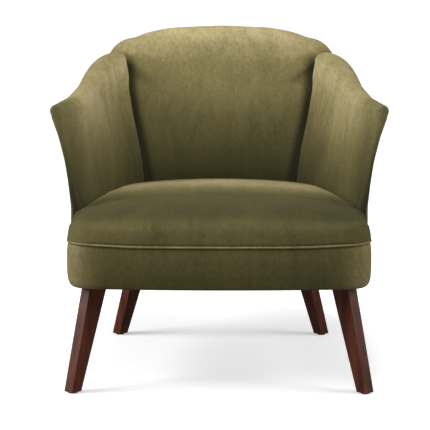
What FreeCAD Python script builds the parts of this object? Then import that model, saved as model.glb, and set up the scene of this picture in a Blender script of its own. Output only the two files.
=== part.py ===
"""An upholstered accent chair: a bowed, crowned seat between two flared arms and an arched, raked back, on four
splayed and tapered wooden legs.

Millimetres, +Z up, +Y to the back, +X to the right as the chair is seen from the front. The origin is on the floor
under the middle of the chair. Inside this file a place in plan is (x, t): t is the distance behind the front of the
seat. Each shape is moved by half the chair's depth when it is written.
"""

import FreeCAD
import Part

import math
import os

V = FreeCAD.Vector

# Overall
chair_depth = 725.0         # front of the seat to the back of the crest
chair_height = 795.0        # floor to the top of the back

# The seat's frame
rail_bottom = 240.0         # underside of the seat rails
rail_height = 78.0
rail_thickness = 24.0
strap_thickness = 2.0
strap_width = 50.0
back_strap_half = 237.0       # the back's straps end on its posts
cloth_thickness = 1.2       # dust cover and deck cloth
block_height = 56.0
block_reach = 46.0          # from the leg's middle to the block's inner faces

# The seat in plan
seat_half_width = 341.0
seat_rear_half_width = 230.0
seat_rear_t = 590.0         # the seat form runs on under the back
seat_corner_t = 110.0       # here the sides turn in
front_bow = 13.0            # how far the middle of the front edge stands ahead of the corners
corner_radius = 58.0
border_padding = 12.0

# The seat's height
welt_radius = 2.7
welt_height = 336.0         # middle of the welt above the floor
seat_crown = 101.0          # top of the crown above the welt
foam_rise = 24.0            # top of the foam slab above the welt; the crowned top lies over it

# The arms, at seven places from front to back
arm_front = 122.0
arm_places = (arm_front, 175.0, 260.0, 380.0, 520.0, 615.0, 680.0)
crest_out = (380.0, 371.0, 355.0, 342.0, 328.0, 305.0, 266.0)      # half width over the arms' crests
crest_top = (640.0, 645.0, 654.0, 677.0, 715.0, 729.0, 722.0)      # height of the crests
crest_roll = (13.0, 18.0, 21.0, 25.0, 31.0, 34.0, 34.0)           # radius of the rolled crests
arm_thick = (19.0, 25.0, 35.0, 55.0, 82.0, 104.0, 124.0)           # at the seat's height
side_front = (336.0, 125.0)                                 # outer side in plan: an arc through three places
side_middle = (320.0, 330.0)
side_rear = (256.0, 595.0)
seat_line = 400.0           # height at which the arms' thickness and the back's depth are given
flare_height = 394.0        # above this the arms flare outwards
panel_thickness = 6.5       # board, wadding and velvet of an outside panel
arm_padding = 18.0          # inside of an arm
arm_nose = 9.0              # rounding of the arm's front edge
flare_facets = 4
roll_facets = 11
seam_drop = 6.0             # from the roll down to the seam over the outside panel
arm_post_depth = 50.0
arm_rail_height = 36.0
tack_rail_height = 30.0
tack_rail_width = 18.0

# The back
back_line_t = 544.0         # inside back at the seat's line
back_rake = 0.285           # run per rise of the inside back
outer_base_t = 668.0        # outside back at the rails' underside
crest_depth = 80.0          # front to back at the crest
back_base_half = 250.0
back_waist_half = 259.0
back_shoulder_half = 293.0
shoulder_radius = 74.0
crest_sag = 30.0            # the crest's arch over the shoulders
back_corner_facets = 5
back_edge = 38.0            # rounding of the back's edges
back_padding = 44.0
crest_padding = 13.0
back_post_width = 24.0
crest_rail_width = 36.0
back_lip = 34.0

# Legs
leg_narrow = 28.0
leg_wide = 51.0
foot_side = 27.0
front_foot = (329.0, 28.0)
front_top = (281.0, 74.0)
rear_foot = (261.0, 618.0)
rear_top = (199.0, 556.0)
plate_side = 64.0
plate_thickness = 2.5
glide_height = 3.0
glide_radius = 10.0
bolt_radius = 4.0
bolt_in_leg = 34.0
bolt_in_block = 26.0
screw_radius = 2.2
screw_length = 20.0
screw_edge = 7.5            # from the plate's edges to its screws
head_radius = 4.2
head_height = 1.6

rail_top = rail_bottom + rail_height
cloth_bottom = rail_bottom - cloth_thickness
plate_bottom = cloth_bottom - plate_thickness
deck_bottom = rail_top + 2 * strap_thickness
deck_top = deck_bottom + cloth_thickness
border_top = welt_height - welt_radius
cover_bottom = welt_height + welt_radius
y_middle = (chair_depth - welt_radius) / 2


# Helpers

def line(a, b):
    return Part.makeLine(a, b)


def arc(a, b, c):
    return Part.Arc(a, b, c).toShape()


def box(x0, x1, t0, t1, z0, z1):
    return Part.makeBox(x1 - x0, t1 - t0, z1 - z0, V(x0, t0, z0))


def mirrored(shape):
    return shape.mirror(V(0, 0, 0), V(1, 0, 0))


def both(shape):
    return Part.makeCompound([shape, mirrored(shape)])


def prism(edges, z0, z1):
    """A plan outline drawn at height 0, raised between two heights."""
    face = Part.Face(Part.Wire(edges))
    face.translate(V(0, 0, z0))
    return face.extrude(V(0, 0, z1 - z0))


def loft(wires):
    """A solid through closed sections, straight from each to the next."""
    return Part.makeLoft(wires, True, True)


def bend(a, b, c, count):
    """The ends of equal straight facets along the arc through three places, without the first."""
    curve = Part.Arc(a, b, c)
    first = curve.FirstParameter
    step = (curve.LastParameter - first) / count
    return [curve.value(first + step * k) for k in range(1, count + 1)]


def closed(points):
    return Part.makePolygon(points + [points[0]])


def circle_through(a, b, c):
    """Centre and radius of the circle through three places in plan."""
    d = 2 * (a[0] * (b[1] - c[1]) + b[0] * (c[1] - a[1]) + c[0] * (a[1] - b[1]))
    a2 = a[0] ** 2 + a[1] ** 2
    b2 = b[0] ** 2 + b[1] ** 2
    c2 = c[0] ** 2 + c[1] ** 2
    x = (a2 * (b[1] - c[1]) + b2 * (c[1] - a[1]) + c2 * (a[1] - b[1])) / d
    t = (a2 * (c[0] - b[0]) + b2 * (a[0] - c[0]) + c2 * (b[0] - a[0])) / d
    return x, t, math.hypot(a[0] - x, a[1] - t)


def solid_of(shape):
    """The largest solid of a cut, without slivers."""
    return max(shape.Solids, key=lambda s: s.Volume)


parts = {}


def keep(name, shape):
    parts[name] = shape


def keep_pair(name, right):
    keep(name + "_right", right)
    keep(name + "_left", mirrored(right))


# The seat's outline in plan: bowed front, round corners, sides that run in to the back

def seat_edges(inset, z=0.0):
    """Closed outline, drawn inwards by the inset."""
    w = seat_half_width - inset
    r = corner_radius + 0.35 * max(inset, 0)
    rear = seat_rear_t - inset
    wr = seat_rear_half_width - inset
    middle = inset
    corner_t = inset + front_bow
    turn = max(seat_corner_t, corner_t + r)
    k = r * (1 - math.sqrt(0.5))
    rear_r = 40.0
    kr = rear_r * (1 - math.sqrt(0.5))
    points = [V(w - r, corner_t, z), V(w - k, corner_t + k, z), V(w, corner_t + r, z), V(w, turn, z),
              V(wr, rear - rear_r, z), V(wr - kr, rear - kr, z), V(wr - rear_r, rear, z)]
    left = [V(-p.x, p.y, p.z) for p in points]
    right_side = [arc(points[0], points[1], points[2]), line(points[2], points[4]),
                  arc(points[4], points[5], points[6])]
    left_side = [arc(left[6], left[5], left[4]), line(left[4], left[2]), arc(left[2], left[1], left[0])]
    return ([arc(left[0], V(0, middle, z), points[0])] + right_side + [line(points[6], left[6])] + left_side)


def seat_wire(inset, z):
    return Part.Wire(seat_edges(inset, z))


# The seat's top from front to back: depth, height above the welt at the middle and at the sides
seat_places = (-4.0, 2.0, 14.0, 42.0, 100.0, 210.0, 330.0, 450.0, seat_rear_t)
seat_middle_rise = (12.0, 30.0, 50.0, 70.0, 89.0, seat_crown, seat_crown, 90.0, 66.0)
seat_side_rise = (8.0, 20.0, 30.0, 39.0, 45.0, 52.0, 56.0, 58.0, 56.0)
seat_side_round = 46.0
shoulder_facets = 4
crown_facets = 10
seat_side_lean = 0.2        # the seat's sides run in by this share of their height


def seat_section(t, middle, side, inset, bottom):
    """Across the seat: leaning sides, rounded shoulders, one long arc over the top."""
    share = max(0.0, (t - seat_corner_t) / (seat_rear_t - seat_corner_t))
    w = seat_half_width - share * (seat_half_width - seat_rear_half_width) - inset
    z0 = bottom
    zs = welt_height + side - inset
    zm = welt_height + middle - inset
    r = seat_side_round
    drop = zm - zs
    shoulder_z = zs + 0.62 * min(r, drop)
    k = 0.32
    top_w = w - seat_side_lean * (zs - z0)
    shoulder = V(top_w - r, t, shoulder_z)
    right = [V(w, t, z0), V(top_w, t, zs)]
    right += bend(right[1], V(top_w - k * r * 0.7, t, zs + k * (shoulder_z - zs) * 2.0), shoulder, shoulder_facets)
    across = bend(shoulder, V(0, t, zm), V(-shoulder.x, t, shoulder.z), crown_facets)
    left = [V(-p.x, t, p.z) for p in right[-2::-1]]
    return closed(right + across + left)


def seat_form(inset=0.0, bottom=welt_height):
    rows = zip(seat_places, seat_middle_rise, seat_side_rise)
    top = loft([seat_section(t + inset, m, s, inset, bottom) for t, m, s in rows])
    return top.common(prism(seat_edges(inset), bottom - 30, welt_height + 200))


# The arms' form

side_x0, side_t0, side_radius = circle_through(side_front, side_middle, side_rear)


def side_x(t, inset=0.0):
    """Half width over the outside panels."""
    return side_x0 + math.sqrt((side_radius - inset) ** 2 - (t - side_t0) ** 2)


def side_region(inset, z0, z1):
    """Between the two outer sides, all the way from front to back."""
    t = (-60.0, 320.0, 800.0)
    a, b, c = [V(side_x(u, inset), u, 0) for u in t]
    left = [V(-p.x, p.y, 0) for p in (a, b, c)]
    edges = [arc(a, b, c), line(c, left[2]), arc(left[2], left[1], left[0]), line(left[0], a)]
    return prism(edges, z0, z1)


def arm_lines(t, station):
    """Outer side, middle of the roll, radius of the flare and lean of the inner side, tangent to the roll."""
    out, top, roll, thick = station
    x = side_x(t)
    cx = out - roll
    cz = top - roll
    rise = cz - flare_height
    flare = ((cx - x) ** 2 + rise ** 2 - roll ** 2) / (2 * (out - x))
    dx = cx - (x - thick)
    dz = cz - seat_line
    lean = math.atan2(dx, dz) - math.asin(roll / math.hypot(dx, dz))
    return x, cx, cz, flare, lean


def arm_wire(t, station, inset, bottom):
    """A section across the arm: straight outer side, flare, rolled crest, leaning inner side."""
    x, cx, cz, flare, lean = arm_lines(t, station)
    r = station[2] - inset
    big = flare + inset
    fx = x + flare
    # where the flare runs into the roll
    angle = math.atan2(cz - flare_height, fx - cx)
    join = V(cx + r * math.cos(angle), t, cz - r * math.sin(angle))
    halfway = V(fx - big * math.cos(0.5 * angle), t, flare_height + big * math.sin(0.5 * angle))
    # round the roll to the inner side
    end = math.pi - lean
    over = 0.5 * (end - angle)
    crest = V(cx + r * math.cos(over), t, cz + r * math.sin(over))
    meet = V(cx + r * math.cos(end), t, cz + r * math.sin(end))
    low = V(x - inset, t, bottom)
    high = V(x - inset, t, flare_height)
    foot = V(meet.x + (bottom - meet.z) * math.tan(lean), t, bottom)
    return closed([low, high] + bend(high, halfway, join, flare_facets) + bend(join, crest, meet, roll_facets) + [foot])


def between_places(values, at):
    """A smooth curve through the values at the arm's places."""
    k = max(i for i in range(len(arm_places) - 1) if arm_places[i] <= at)

    def slope(i):
        a = max(i - 1, 0)
        b = min(i + 1, len(arm_places) - 1)
        return (values[b] - values[a]) / (arm_places[b] - arm_places[a])

    length = arm_places[k + 1] - arm_places[k]
    u = (at - arm_places[k]) / length
    start = (1 + 2 * u) * (1 - u) ** 2 * values[k] + u * (1 - u) ** 2 * length * slope(k)
    return start + u ** 2 * (3 - 2 * u) * values[k + 1] + u ** 2 * (u - 1) * length * slope(k + 1)


def station(at):
    return at, tuple(between_places(values, at) for values in (crest_out, crest_top, crest_roll, arm_thick))


def arm_stations():
    """Sections at the arm's places and halfway between the ones that show."""
    halves = [0.5 * (a + b) for a, b in zip(arm_places[1:5], arm_places[2:6])]
    return [station(at) for at in sorted(list(arm_places) + halves)]


def place_station(number):
    return arm_places[number], (crest_out[number], crest_top[number], crest_roll[number], arm_thick[number])


def arm_form(bottom):
    """The padded arm, its front edge rounded."""
    stations = arm_stations()
    front_t, front = stations[0]
    wires = []
    for step in (0.08, 0.45, 1.0):
        shrink = arm_nose * (1 - math.sqrt(1 - (1 - step) ** 2))
        wires.append(arm_wire(front_t + step * arm_nose, front, shrink, bottom))
    wires += [arm_wire(t, station, 0.0, bottom) for t, station in stations[1:]]
    return loft(wires)


def arm_zone(bottom):
    """Room for the wooden frame inside the arm: straight sides between three sections."""
    wires = []
    for number in (0, 2, 4, 6):
        t, sizes = place_station(number)
        roll = sizes[2]
        thick = sizes[3]
        x, cx, cz, flare, lean = arm_lines(t, sizes)
        inner = min(arm_padding, 0.28 * thick) / math.cos(lean)
        angle = math.atan2(cz - flare_height, flare + x - cx)
        big = flare + panel_thickness
        half = 0.55 * (roll - 6.0)
        at = t + arm_nose if number == 0 else t
        under = cz - 0.3 * roll
        knee = V(x + flare - big * math.cos(0.5 * angle), at, flare_height + big * math.sin(0.5 * angle))

        def inside(z):
            return x - thick + inner + (z - seat_line) * math.tan(lean)

        points = [V(x - panel_thickness, at, bottom), V(x - panel_thickness, at, flare_height), knee,
                  V(cx + 1.2 * half, at, under), V(cx + 0.8 * half, at, cz + half),
                  V(max(inside(cz + half), cx - 0.8 * half), at, cz + half),
                  V(inside(under), at, under), V(inside(bottom), at, bottom)]
        wires.append(Part.makePolygon(points + [points[0]]))
    return loft(wires)


# The back's form: outlines in planes that fan from the raked inside to the outside

def back_plane(share):
    """Depth of a plane at height 0 and its run per rise; share 0 is the outside, 1 the inside."""
    inner0 = back_line_t - back_rake * seat_line
    inner_at_crest = inner0 + back_rake * (chair_height - 0.5 * crest_depth)
    outer_at_crest = inner_at_crest + crest_depth
    outer_rake = (outer_at_crest - outer_base_t) / (chair_height - 0.5 * crest_depth - rail_bottom)
    outer0 = outer_base_t - outer_rake * rail_bottom
    return outer0 + share * (inner0 - outer0), outer_rake + share * (back_rake - outer_rake)


def back_wire(share, shift, inset, bottom, sawn=False):
    """The back's outline: flared sides, round shoulders, arched top. The wooden frame's shoulders are sawn straight."""
    start, rake = back_plane(share)

    def at(x, z):
        return V(x, start + rake * z + shift, z)

    r = shoulder_radius - inset
    base = back_base_half - inset
    waist = back_waist_half - inset
    edge = back_shoulder_half - inset
    top = chair_height - inset
    side_z = chair_height - crest_sag - shoulder_radius
    arch_z = side_z + 0.985 * r
    arch_x = edge - 0.90 * r
    k = math.sqrt(0.5)
    right = [at(base, bottom), at(waist, 0.5 * (rail_bottom + side_z)), at(edge, side_z),
             at(edge - r + k * r, side_z + k * r), at(arch_x, arch_z)]
    left = [V(-p.x, p.y, p.z) for p in right]
    if sawn:
        straight = [line(a, b) for a, b in zip(right, right[1:])]
        mirror = [line(a, b) for a, b in zip(left[::-1], left[-2::-1])]
        return Part.Wire([line(left[0], right[0])] + straight + [arc(right[4], at(0, top), left[4])] + mirror)
    turn = [right[2]] + bend(right[2], right[3], right[4], back_corner_facets)
    turn_back = [V(-p.x, p.y, p.z) for p in turn[::-1]]
    down = [arc(right[0], right[1], right[2])] + [line(a, b) for a, b in zip(turn, turn[1:])]
    up = [line(a, b) for a, b in zip(turn_back, turn_back[1:])] + [arc(left[2], left[1], left[0])]
    return Part.Wire([line(left[0], right[0])] + down + [arc(right[4], at(0, top), left[4])] + up)


def back_form(bottom):
    """The padded back, its edges rounded towards the inside and the outside."""
    steps = ((0.0, back_edge), (0.10, 0.34 * back_edge), (0.38, 0.0), (0.62, 0.0), (0.90, 0.34 * back_edge),
             (1.0, back_edge))
    return loft([back_wire(share, 0.0, inset, bottom) for share, inset in steps])


def back_zone(bottom, more=0.0, front=0.0):
    """Room for the wooden frame inside the back; more narrows its outline, front sets its front further in."""
    return loft([back_wire(0.0, -panel_thickness, 0.8 * back_edge + more, bottom, True),
                 back_wire(1.0, back_padding + front, crest_padding + more, bottom, True)])


def back_opening(bottom, more):
    """The opening inside the back's frame, longer than the frame is deep."""
    return loft([back_wire(0.0, 30.0, 0.8 * back_edge + more, bottom, True),
                 back_wire(1.0, 10.0, crest_padding + more, bottom, True)])


def outer_side(bottom):
    """Everything outside the seam under the right arm's roll, round to the seam on the back."""
    sections = []
    for number in (0, 1, 2, 4, 6):
        t, sizes = place_station(number)
        x, cx, cz, flare, lean = arm_lines(t, sizes)
        angle = math.atan2(cz - flare_height, flare + x - cx)
        at = t + 0.5 * arm_nose if number == 0 else t
        seam = cz - sizes[2] * math.sin(angle) - seam_drop
        middle = flare_height + flare * math.sin(0.5 * angle)
        depth = panel_thickness + 2.0
        low_x = x - depth - 2.0
        middle_x = x + flare * (1 - math.cos(0.5 * angle)) - depth
        high_x = x + flare * (1 - math.cos(0.9 * angle)) - depth
        sections.append((at, low_x, middle_x, high_x, middle, seam))
    at, low_x, middle_x, high_x, middle, seam = sections[-1]
    low_x = back_base_half - back_lip - 12.0
    high_x = back_shoulder_half - back_lip - 12.0
    sections.append((chair_depth + 40.0, low_x, 0.5 * (low_x + high_x) - 6.0, high_x, middle, seam))
    wires = []
    for at, low_x, middle_x, high_x, middle, seam in sections:
        points = [V(low_x, at, bottom), V(low_x, at, flare_height), V(middle_x, at, middle), V(high_x, at, seam),
                  V(450, at, seam), V(450, at, bottom)]
        wires.append(Part.makePolygon(points + [points[0]]))
    return loft(wires)


# Regions in plan for the seat's wooden frame

def bow_t(x, inset):
    """Depth of the bowed front edge at a half width."""
    half = seat_half_width - corner_radius
    radius = (half ** 2 + front_bow ** 2) / (2 * front_bow)
    return inset + radius - math.sqrt(radius ** 2 - x ** 2)


def behind_bow(inset, z0, z1):
    x = seat_half_width + 30.0
    a, b, c = V(-x, bow_t(x, inset), 0), V(0, inset, 0), V(x, bow_t(x, inset), 0)
    edges = [arc(a, b, c), line(c, V(x, 800, 0)), line(V(x, 800, 0), V(-x, 800, 0)), line(V(-x, 800, 0), a)]
    return prism(edges, z0, z1)


def frame_plan(front, side, z0, z1):
    """Between the bowed front and the two sides, with round front corners."""
    w = seat_half_width - border_padding
    r = corner_radius - border_padding
    corner_t = bow_t(w - r, front)
    k = r * (1 - math.sqrt(0.5))
    right = [V(w - r, corner_t, 0), V(w - k, corner_t + k, 0), V(w, corner_t + r, 0), V(w, 800, 0)]
    left = [V(-p.x, p.y, 0) for p in right]
    edges = [arc(left[0], V(0, front, 0), right[0]), arc(right[0], right[1], right[2]), line(right[2], right[3]),
             line(right[3], left[3]), line(left[3], left[2]), arc(left[2], left[1], left[0])]
    return prism(edges, z0, z1).common(side_region(side, z0, z1))


def right_half(shape):
    return shape.common(box(0, 500, -100, 900, 0, 900))


# Forms used below

strap_top = rail_top + strap_thickness
pad_bottom = deck_top
arm_low = arm_form(rail_bottom)
back_low = back_form(rail_bottom)
back_room = back_zone(rail_bottom)
rear_of_frame = loft([back_wire(0.0, -panel_thickness, -60.0, rail_bottom - 30),
                      back_wire(0.0, 120.0, -60.0, rail_bottom - 30)])
arm_room = solid_of(arm_zone(rail_bottom).cut(rear_of_frame))
arms = both(arm_low)
rooms = both(arm_room)
outer = outer_side(rail_bottom - 20.0)
outers = both(outer)
above = box(-500, 500, -100, 900, pad_bottom, 900)


# Upholstery

def upholstery():
    arm_pad = arm_low.cut(Part.makeCompound([arm_room, back_low, outer])).common(above)
    keep_pair("inside_arm_pad", solid_of(arm_pad))
    rear_face = loft([back_wire(0.0, -panel_thickness, back_lip, rail_bottom),
                      back_wire(0.0, 60.0, back_lip, rail_bottom)])
    skin = back_low.cut(Part.makeCompound([back_room, arm_room, mirrored(arm_room)]))
    inner_skin = skin.cut(outers)
    keep("outside_back_panel", solid_of(inner_skin.common(rear_face)))
    keep("inside_back_pad", solid_of(inner_skin.cut(rear_face).common(above)))
    side_skin = arm_low.cut(Part.makeCompound([arm_room, back_low])).common(outer)
    corner_skin = skin.common(outer)
    keep_pair("outside_arm_panel", solid_of(solid_of(side_skin).fuse(solid_of(corner_skin))))


def seat():
    bodies = Part.makeCompound([arm_low, mirrored(arm_low), back_low])
    ears = box(-500, 500, arm_front, 900, 0, 900).cut(box(-arm_gap_x(), arm_gap_x(), -100, 900, 0, 900))
    core = prism(seat_edges(border_padding + 4.0), deck_top, welt_height + foam_rise)
    core = solid_of(core.cut(bodies).cut(ears))
    keep("seat_foam", core)
    top = seat_form(0.0, cover_bottom).cut(bodies).cut(ears).cut(core)
    keep("seat_top", solid_of(top))


def arm_gap_x():
    """Half the gap between the arms' front edges."""
    return side_x(arm_front) - arm_thick[0] + 8.0


def front_band():
    """The padded border under the welt, and the welt."""
    steps = ((rail_bottom - 2.0, 7.0), (rail_bottom + 6.0, 1.5), (rail_bottom + 26.0, -2.0), (border_top - 20.0, -1.5),
             (border_top, 1.0))
    whole = loft([seat_wire(inset, z) for z, inset in steps])
    hollow = frame_plan(border_padding, panel_thickness, rail_bottom - 20, border_top + 20)
    front = box(-500, 500, -100, arm_front + 0.5 * arm_nose, 0, 900)
    band = whole.common(front).cut(hollow)
    sides = Part.makeCompound([arm_low, mirrored(arm_low)])
    band = solid_of(band.cut(sides))
    keep("seat_border", band)


def welt():
    """A covered cord along the seam between the seat's top and its border."""
    edges = seat_edges(0.0, welt_height)
    front, right_corner, right_side = edges[0], edges[1], edges[2]
    left_side, left_corner = edges[-2], edges[-1]

    def to_arm(edge):
        points = sorted([v.Point for v in edge.Vertexes], key=lambda p: p.y)
        share = (arm_front - points[0].y) / (points[1].y - points[0].y)
        return line(points[0], points[0] + (points[1] - points[0]) * share)

    path = Part.Wire(Part.__sortEdges__([to_arm(left_side), left_corner, front, right_corner, to_arm(right_side)]))
    start = path.OrderedVertexes[0].Point
    direction = path.OrderedVertexes[1].Point - start
    ring = Part.makePolygon([start + V(0, welt_radius * math.cos(math.radians(60 * k)),
                                       welt_radius * math.sin(math.radians(60 * k))) for k in range(7)])
    turn = FreeCAD.Rotation(V(1, 0, 0), V(direction.x, direction.y, 0))
    ring = ring.rotate(start, turn.Axis, math.degrees(turn.Angle))
    return path.makePipeShell([ring], True, True)


# Wooden frame

def frame():
    ring_front = frame_plan(border_padding, panel_thickness, rail_bottom, rail_top)
    front_rail = ring_front.cut(behind_bow(border_padding + rail_thickness, 0, 900))
    keep("front_seat_rail", solid_of(front_rail))

    post = right_half(back_zone(rail_bottom, 0.0, strap_thickness).cut(back_opening(rail_bottom - 10, back_post_width)))
    shoulder = chair_height - crest_sag - shoulder_radius - 20.0
    post = solid_of(post.common(box(0, 500, 0, 900, rail_bottom, shoulder)))
    crest = back_zone(rail_bottom, 0.0, strap_thickness).cut(back_opening(rail_bottom - 10, crest_rail_width))
    crest = solid_of(crest.common(box(-500, 500, 0, 900, shoulder, 900)))

    side = frame_plan(border_padding, panel_thickness, rail_bottom, strap_top)
    side = side.common(behind_bow(border_padding + rail_thickness, 0, 900))
    side = side.cut(side_region(panel_thickness + rail_thickness, 0, 900))
    side = right_half(side).common(box(0, 500, 0, 600, 0, 900))
    side = solid_of(side.cut(post))
    keep_pair("side_seat_rail", side)
    keep_pair("back_post", post)
    keep("crest_rail", crest)

    back_rail = back_zone(rail_bottom).common(box(-500, 500, outer_base_t - panel_thickness - rail_thickness, 900,
                                                  rail_bottom, rail_top))
    keep("back_seat_rail", solid_of(back_rail.cut(both(post))))

    arm_post = arm_room.common(box(0, 500, 0, arm_front + arm_nose + arm_post_depth, strap_top, 900))
    arm_post = solid_of(arm_post)
    keep_pair("arm_post", arm_post)
    t0, first = place_station(0)
    t1, last = place_station(6)
    rail_cut = []
    for t, station in ((t0, first), (t1, last)):
        low = station[1] - crest_padding - arm_rail_height
        points = [V(0, t, low), V(500, t, low), V(500, t, 900), V(0, t, 900)]
        rail_cut.append(Part.makePolygon(points + [points[0]]))
    top_rail = arm_room.common(loft(rail_cut)).cut(Part.makeCompound([arm_post, post, crest]))
    top_rail = solid_of(top_rail.common(box(0, 500, 0, 700, 0, 900)))
    keep_pair("arm_top_rail", top_rail)
    tack = arm_room.common(box(0, 500, 0, 640, 350.0, 350.0 + tack_rail_height))
    tack = tack.cut(side_region(panel_thickness + tack_rail_width, 0, 900))
    keep_pair("arm_tack_rail", solid_of(tack.cut(Part.makeCompound([arm_post, post]))))

    low = loft([back_wire(1.0, back_padding + strap_thickness, crest_padding, rail_bottom),
                back_wire(1.0, back_padding + strap_thickness + 20.0, crest_padding, rail_bottom)])
    low = low.common(box(-500, 500, 0, 900, 352.0, 392.0))
    keep("back_tack_rail", solid_of(low.cut(both(post))))

    inside = frame_plan(border_padding + rail_thickness, panel_thickness + rail_thickness, rail_bottom,
                        rail_bottom + block_height).common(behind_bow(border_padding + rail_thickness, 0, 900))
    x, t = front_top
    block = box(x - block_reach, 400, 0, t + block_reach, 0, 900)
    chamfer = prism_of([(x - block_reach - 1, t + block_reach + 1), (x - block_reach + 34, t + block_reach + 1),
                        (x - block_reach - 1, t + block_reach - 34)])
    front_block = solid_of(inside.common(block).cut(chamfer))
    x, t = rear_top
    block = box(x - block_reach, 400, t - block_reach, outer_base_t - panel_thickness - rail_thickness, 0, 900)
    chamfer = prism_of([(x - block_reach - 1, t - block_reach - 1), (x - block_reach + 34, t - block_reach - 1),
                        (x - block_reach - 1, t - block_reach + 34)])
    rear_block = solid_of(inside.common(block).cut(chamfer).cut(post))
    return front_block, rear_block


def prism_of(points, z0=0.0, z1=900.0):
    corners = [V(x, t, z0) for x, t in points]
    face = Part.Face(Part.makePolygon(corners + [corners[0]]))
    return face.extrude(V(0, 0, z1 - z0))


# Legs and their fixings

def four_sided(low, high):
    """A solid with plane faces between two rings of four corners."""
    faces = [Part.Face(Part.makePolygon(ring + [ring[0]])) for ring in (low, high)]
    for k in range(4):
        n = (k + 1) % 4
        faces.append(Part.Face(Part.makePolygon([low[k], low[n], high[n], high[k], low[k]])))
    return Part.Solid(Part.Shell(faces))


def bar(radius, height, place, sides=6):
    """A many-sided bar, for screws and bolts."""
    turns = [math.radians(360.0 * k / sides) for k in range(sides)]
    corners = [place + V(radius * math.cos(u), radius * math.sin(u), 0) for u in turns]
    return Part.Face(Part.makePolygon(corners + [corners[0]])).extrude(V(0, 0, height))


def leg(top, foot):
    """Tapered on one pair of sides only; a corner points forward."""
    c = math.sqrt(0.5)

    def ring(place, z, narrow, wide):
        x, t = place
        n = 0.5 * narrow * c
        w = 0.5 * wide * c
        # the wide sides run from the inner back to the outer front
        points = [V(x - w + n, t - w - n, z), V(x + w + n, t + w - n, z), V(x + w - n, t + w + n, z),
                  V(x - w - n, t - w + n, z)]
        points = [V(2 * x - p.x, p.y, p.z) for p in points]
        return points

    return four_sided(ring(foot, glide_height, foot_side, foot_side), ring(top, plate_bottom, leg_narrow, leg_wide))


def legs(front_block, rear_block):
    bolts = []
    plates = []
    screws = []
    glides = []
    blocks = []
    legs_made = []
    rows = (("front", front_top, front_foot, front_block), ("rear", rear_top, rear_foot, rear_block))
    for name, top, foot, block in rows:
        x, t = top
        bolt = bar(bolt_radius, bolt_in_leg + bolt_in_block + plate_thickness + cloth_thickness,
                   V(x, t, plate_bottom - bolt_in_leg), 8)
        half = 0.5 * plate_side
        plate = box(x - half, x + half, t - half, t + half, plate_bottom, cloth_bottom)
        fixings = []
        for sx, st in ((1, 1), (1, -1), (-1, 1), (-1, -1)):
            place = V(x + sx * (half - screw_edge), t + st * (half - screw_edge), plate_bottom)
            shank = bar(screw_radius, screw_length, place, 4)
            head = bar(head_radius, head_height, place - V(0, 0, head_height))
            fixings.append(head.fuse(shank))
        plate = plate.cut(Part.makeCompound([bolt] + fixings))
        screws += fixings
        bolts.append(bolt)
        plates.append(plate)
        blocks.append(block.cut(Part.makeCompound([bolt] + fixings)))
        made = leg(top, foot).cut(bolt)
        legs_made.append(made)
        keep_pair("leg_" + name, solid_of(made))
        glides.append(bar(glide_radius, glide_height, V(foot[0], foot[1], 0), 12))
    keep("corner_blocks", both(Part.makeCompound(blocks)))
    keep("leg_plates", both(Part.makeCompound(plates)))
    keep("hanger_bolts", both(Part.makeCompound(bolts)))
    keep("plate_screws", both(Part.makeCompound(screws)))
    keep("foot_glides", both(Part.makeCompound(glides)))
    return bolts, screws


# Webbing and cloth

def webbing():
    long_straps = []
    posts = both(Part.makeCompound([parts[name] for name in ("back_post_right", "arm_post_right")]))
    side_rails = both(parts["side_seat_rail_right"])
    for x in (-216.0, -144.0, -72.0, 0.0, 72.0, 144.0, 216.0):
        strap = box(x - strap_width / 2, x + strap_width / 2, 0, outer_base_t - panel_thickness - 2.0, rail_top,
                    strap_top)
        long_straps.append(strap)
    region = frame_plan(border_padding + 2.0, panel_thickness + 4.0, 0, 900)
    panels = both(parts["outside_arm_panel_right"])
    straps = Part.makeCompound(long_straps).common(region).cut(posts).cut(side_rails)
    keep("seat_webbing_long", straps)
    cross = []
    for number in range(6):
        t = 85.0 + 78.0 * number
        cross.append(box(-400, 400, t - strap_width / 2, t + strap_width / 2, strap_top, deck_bottom))
    keep("seat_webbing_cross", Part.makeCompound(cross).common(region).cut(posts).cut(panels))
    cloth = box(-400, 400, 40, 530, deck_bottom, deck_top).common(region).cut(posts).cut(panels)
    keep("seat_deck_cloth", solid_of(cloth))
    band = loft([back_wire(1.0, back_padding, crest_padding, rail_bottom),
                 back_wire(1.0, back_padding + strap_thickness, crest_padding, rail_bottom)])
    half = back_strap_half
    strips = [box(-half, half, 0, 900, z, z + strap_width) for z in (420.0, 490.0, 560.0, 630.0)]
    keep("back_webbing", Part.makeCompound([solid_of(band.common(strip)) for strip in strips]))


def dust_cover(bolts, screws):
    sheet = frame_plan(border_padding + 6.0, panel_thickness + 6.0, cloth_bottom, rail_bottom)
    sheet = sheet.common(box(-500, 500, -100, outer_base_t - panel_thickness - 4.0, 0, 900))
    holes = Part.makeCompound(bolts + screws)
    keep("dust_cover", solid_of(sheet.cut(both(holes))))


upholstery()
seat()
front_band()
blocks = frame()
bolts, screws = legs(*blocks)
webbing()
dust_cover(bolts, screws)
keep("seat_welt", welt())
keep("seat_foam", solid_of(parts["seat_foam"].cut(parts["seat_border"])))
screwed = both(Part.makeCompound(screws))
for name in ("front_seat_rail", "side_seat_rail_right", "side_seat_rail_left", "back_post_right", "back_post_left"):
    keep(name, solid_of(parts[name].cut(screwed)))
members = Part.makeCompound([parts[name] for name in ("side_seat_rail_right", "back_post_right", "crest_rail",
                                                      "arm_top_rail_right", "front_seat_rail")])
keep_pair("outside_arm_panel", solid_of(parts["outside_arm_panel_right"].cut(members)))
keep("inside_back_pad", solid_of(parts["inside_back_pad"].cut(parts["crest_rail"])))
keep("back_webbing", parts["back_webbing"].cut(both(parts["arm_top_rail_right"])))

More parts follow.
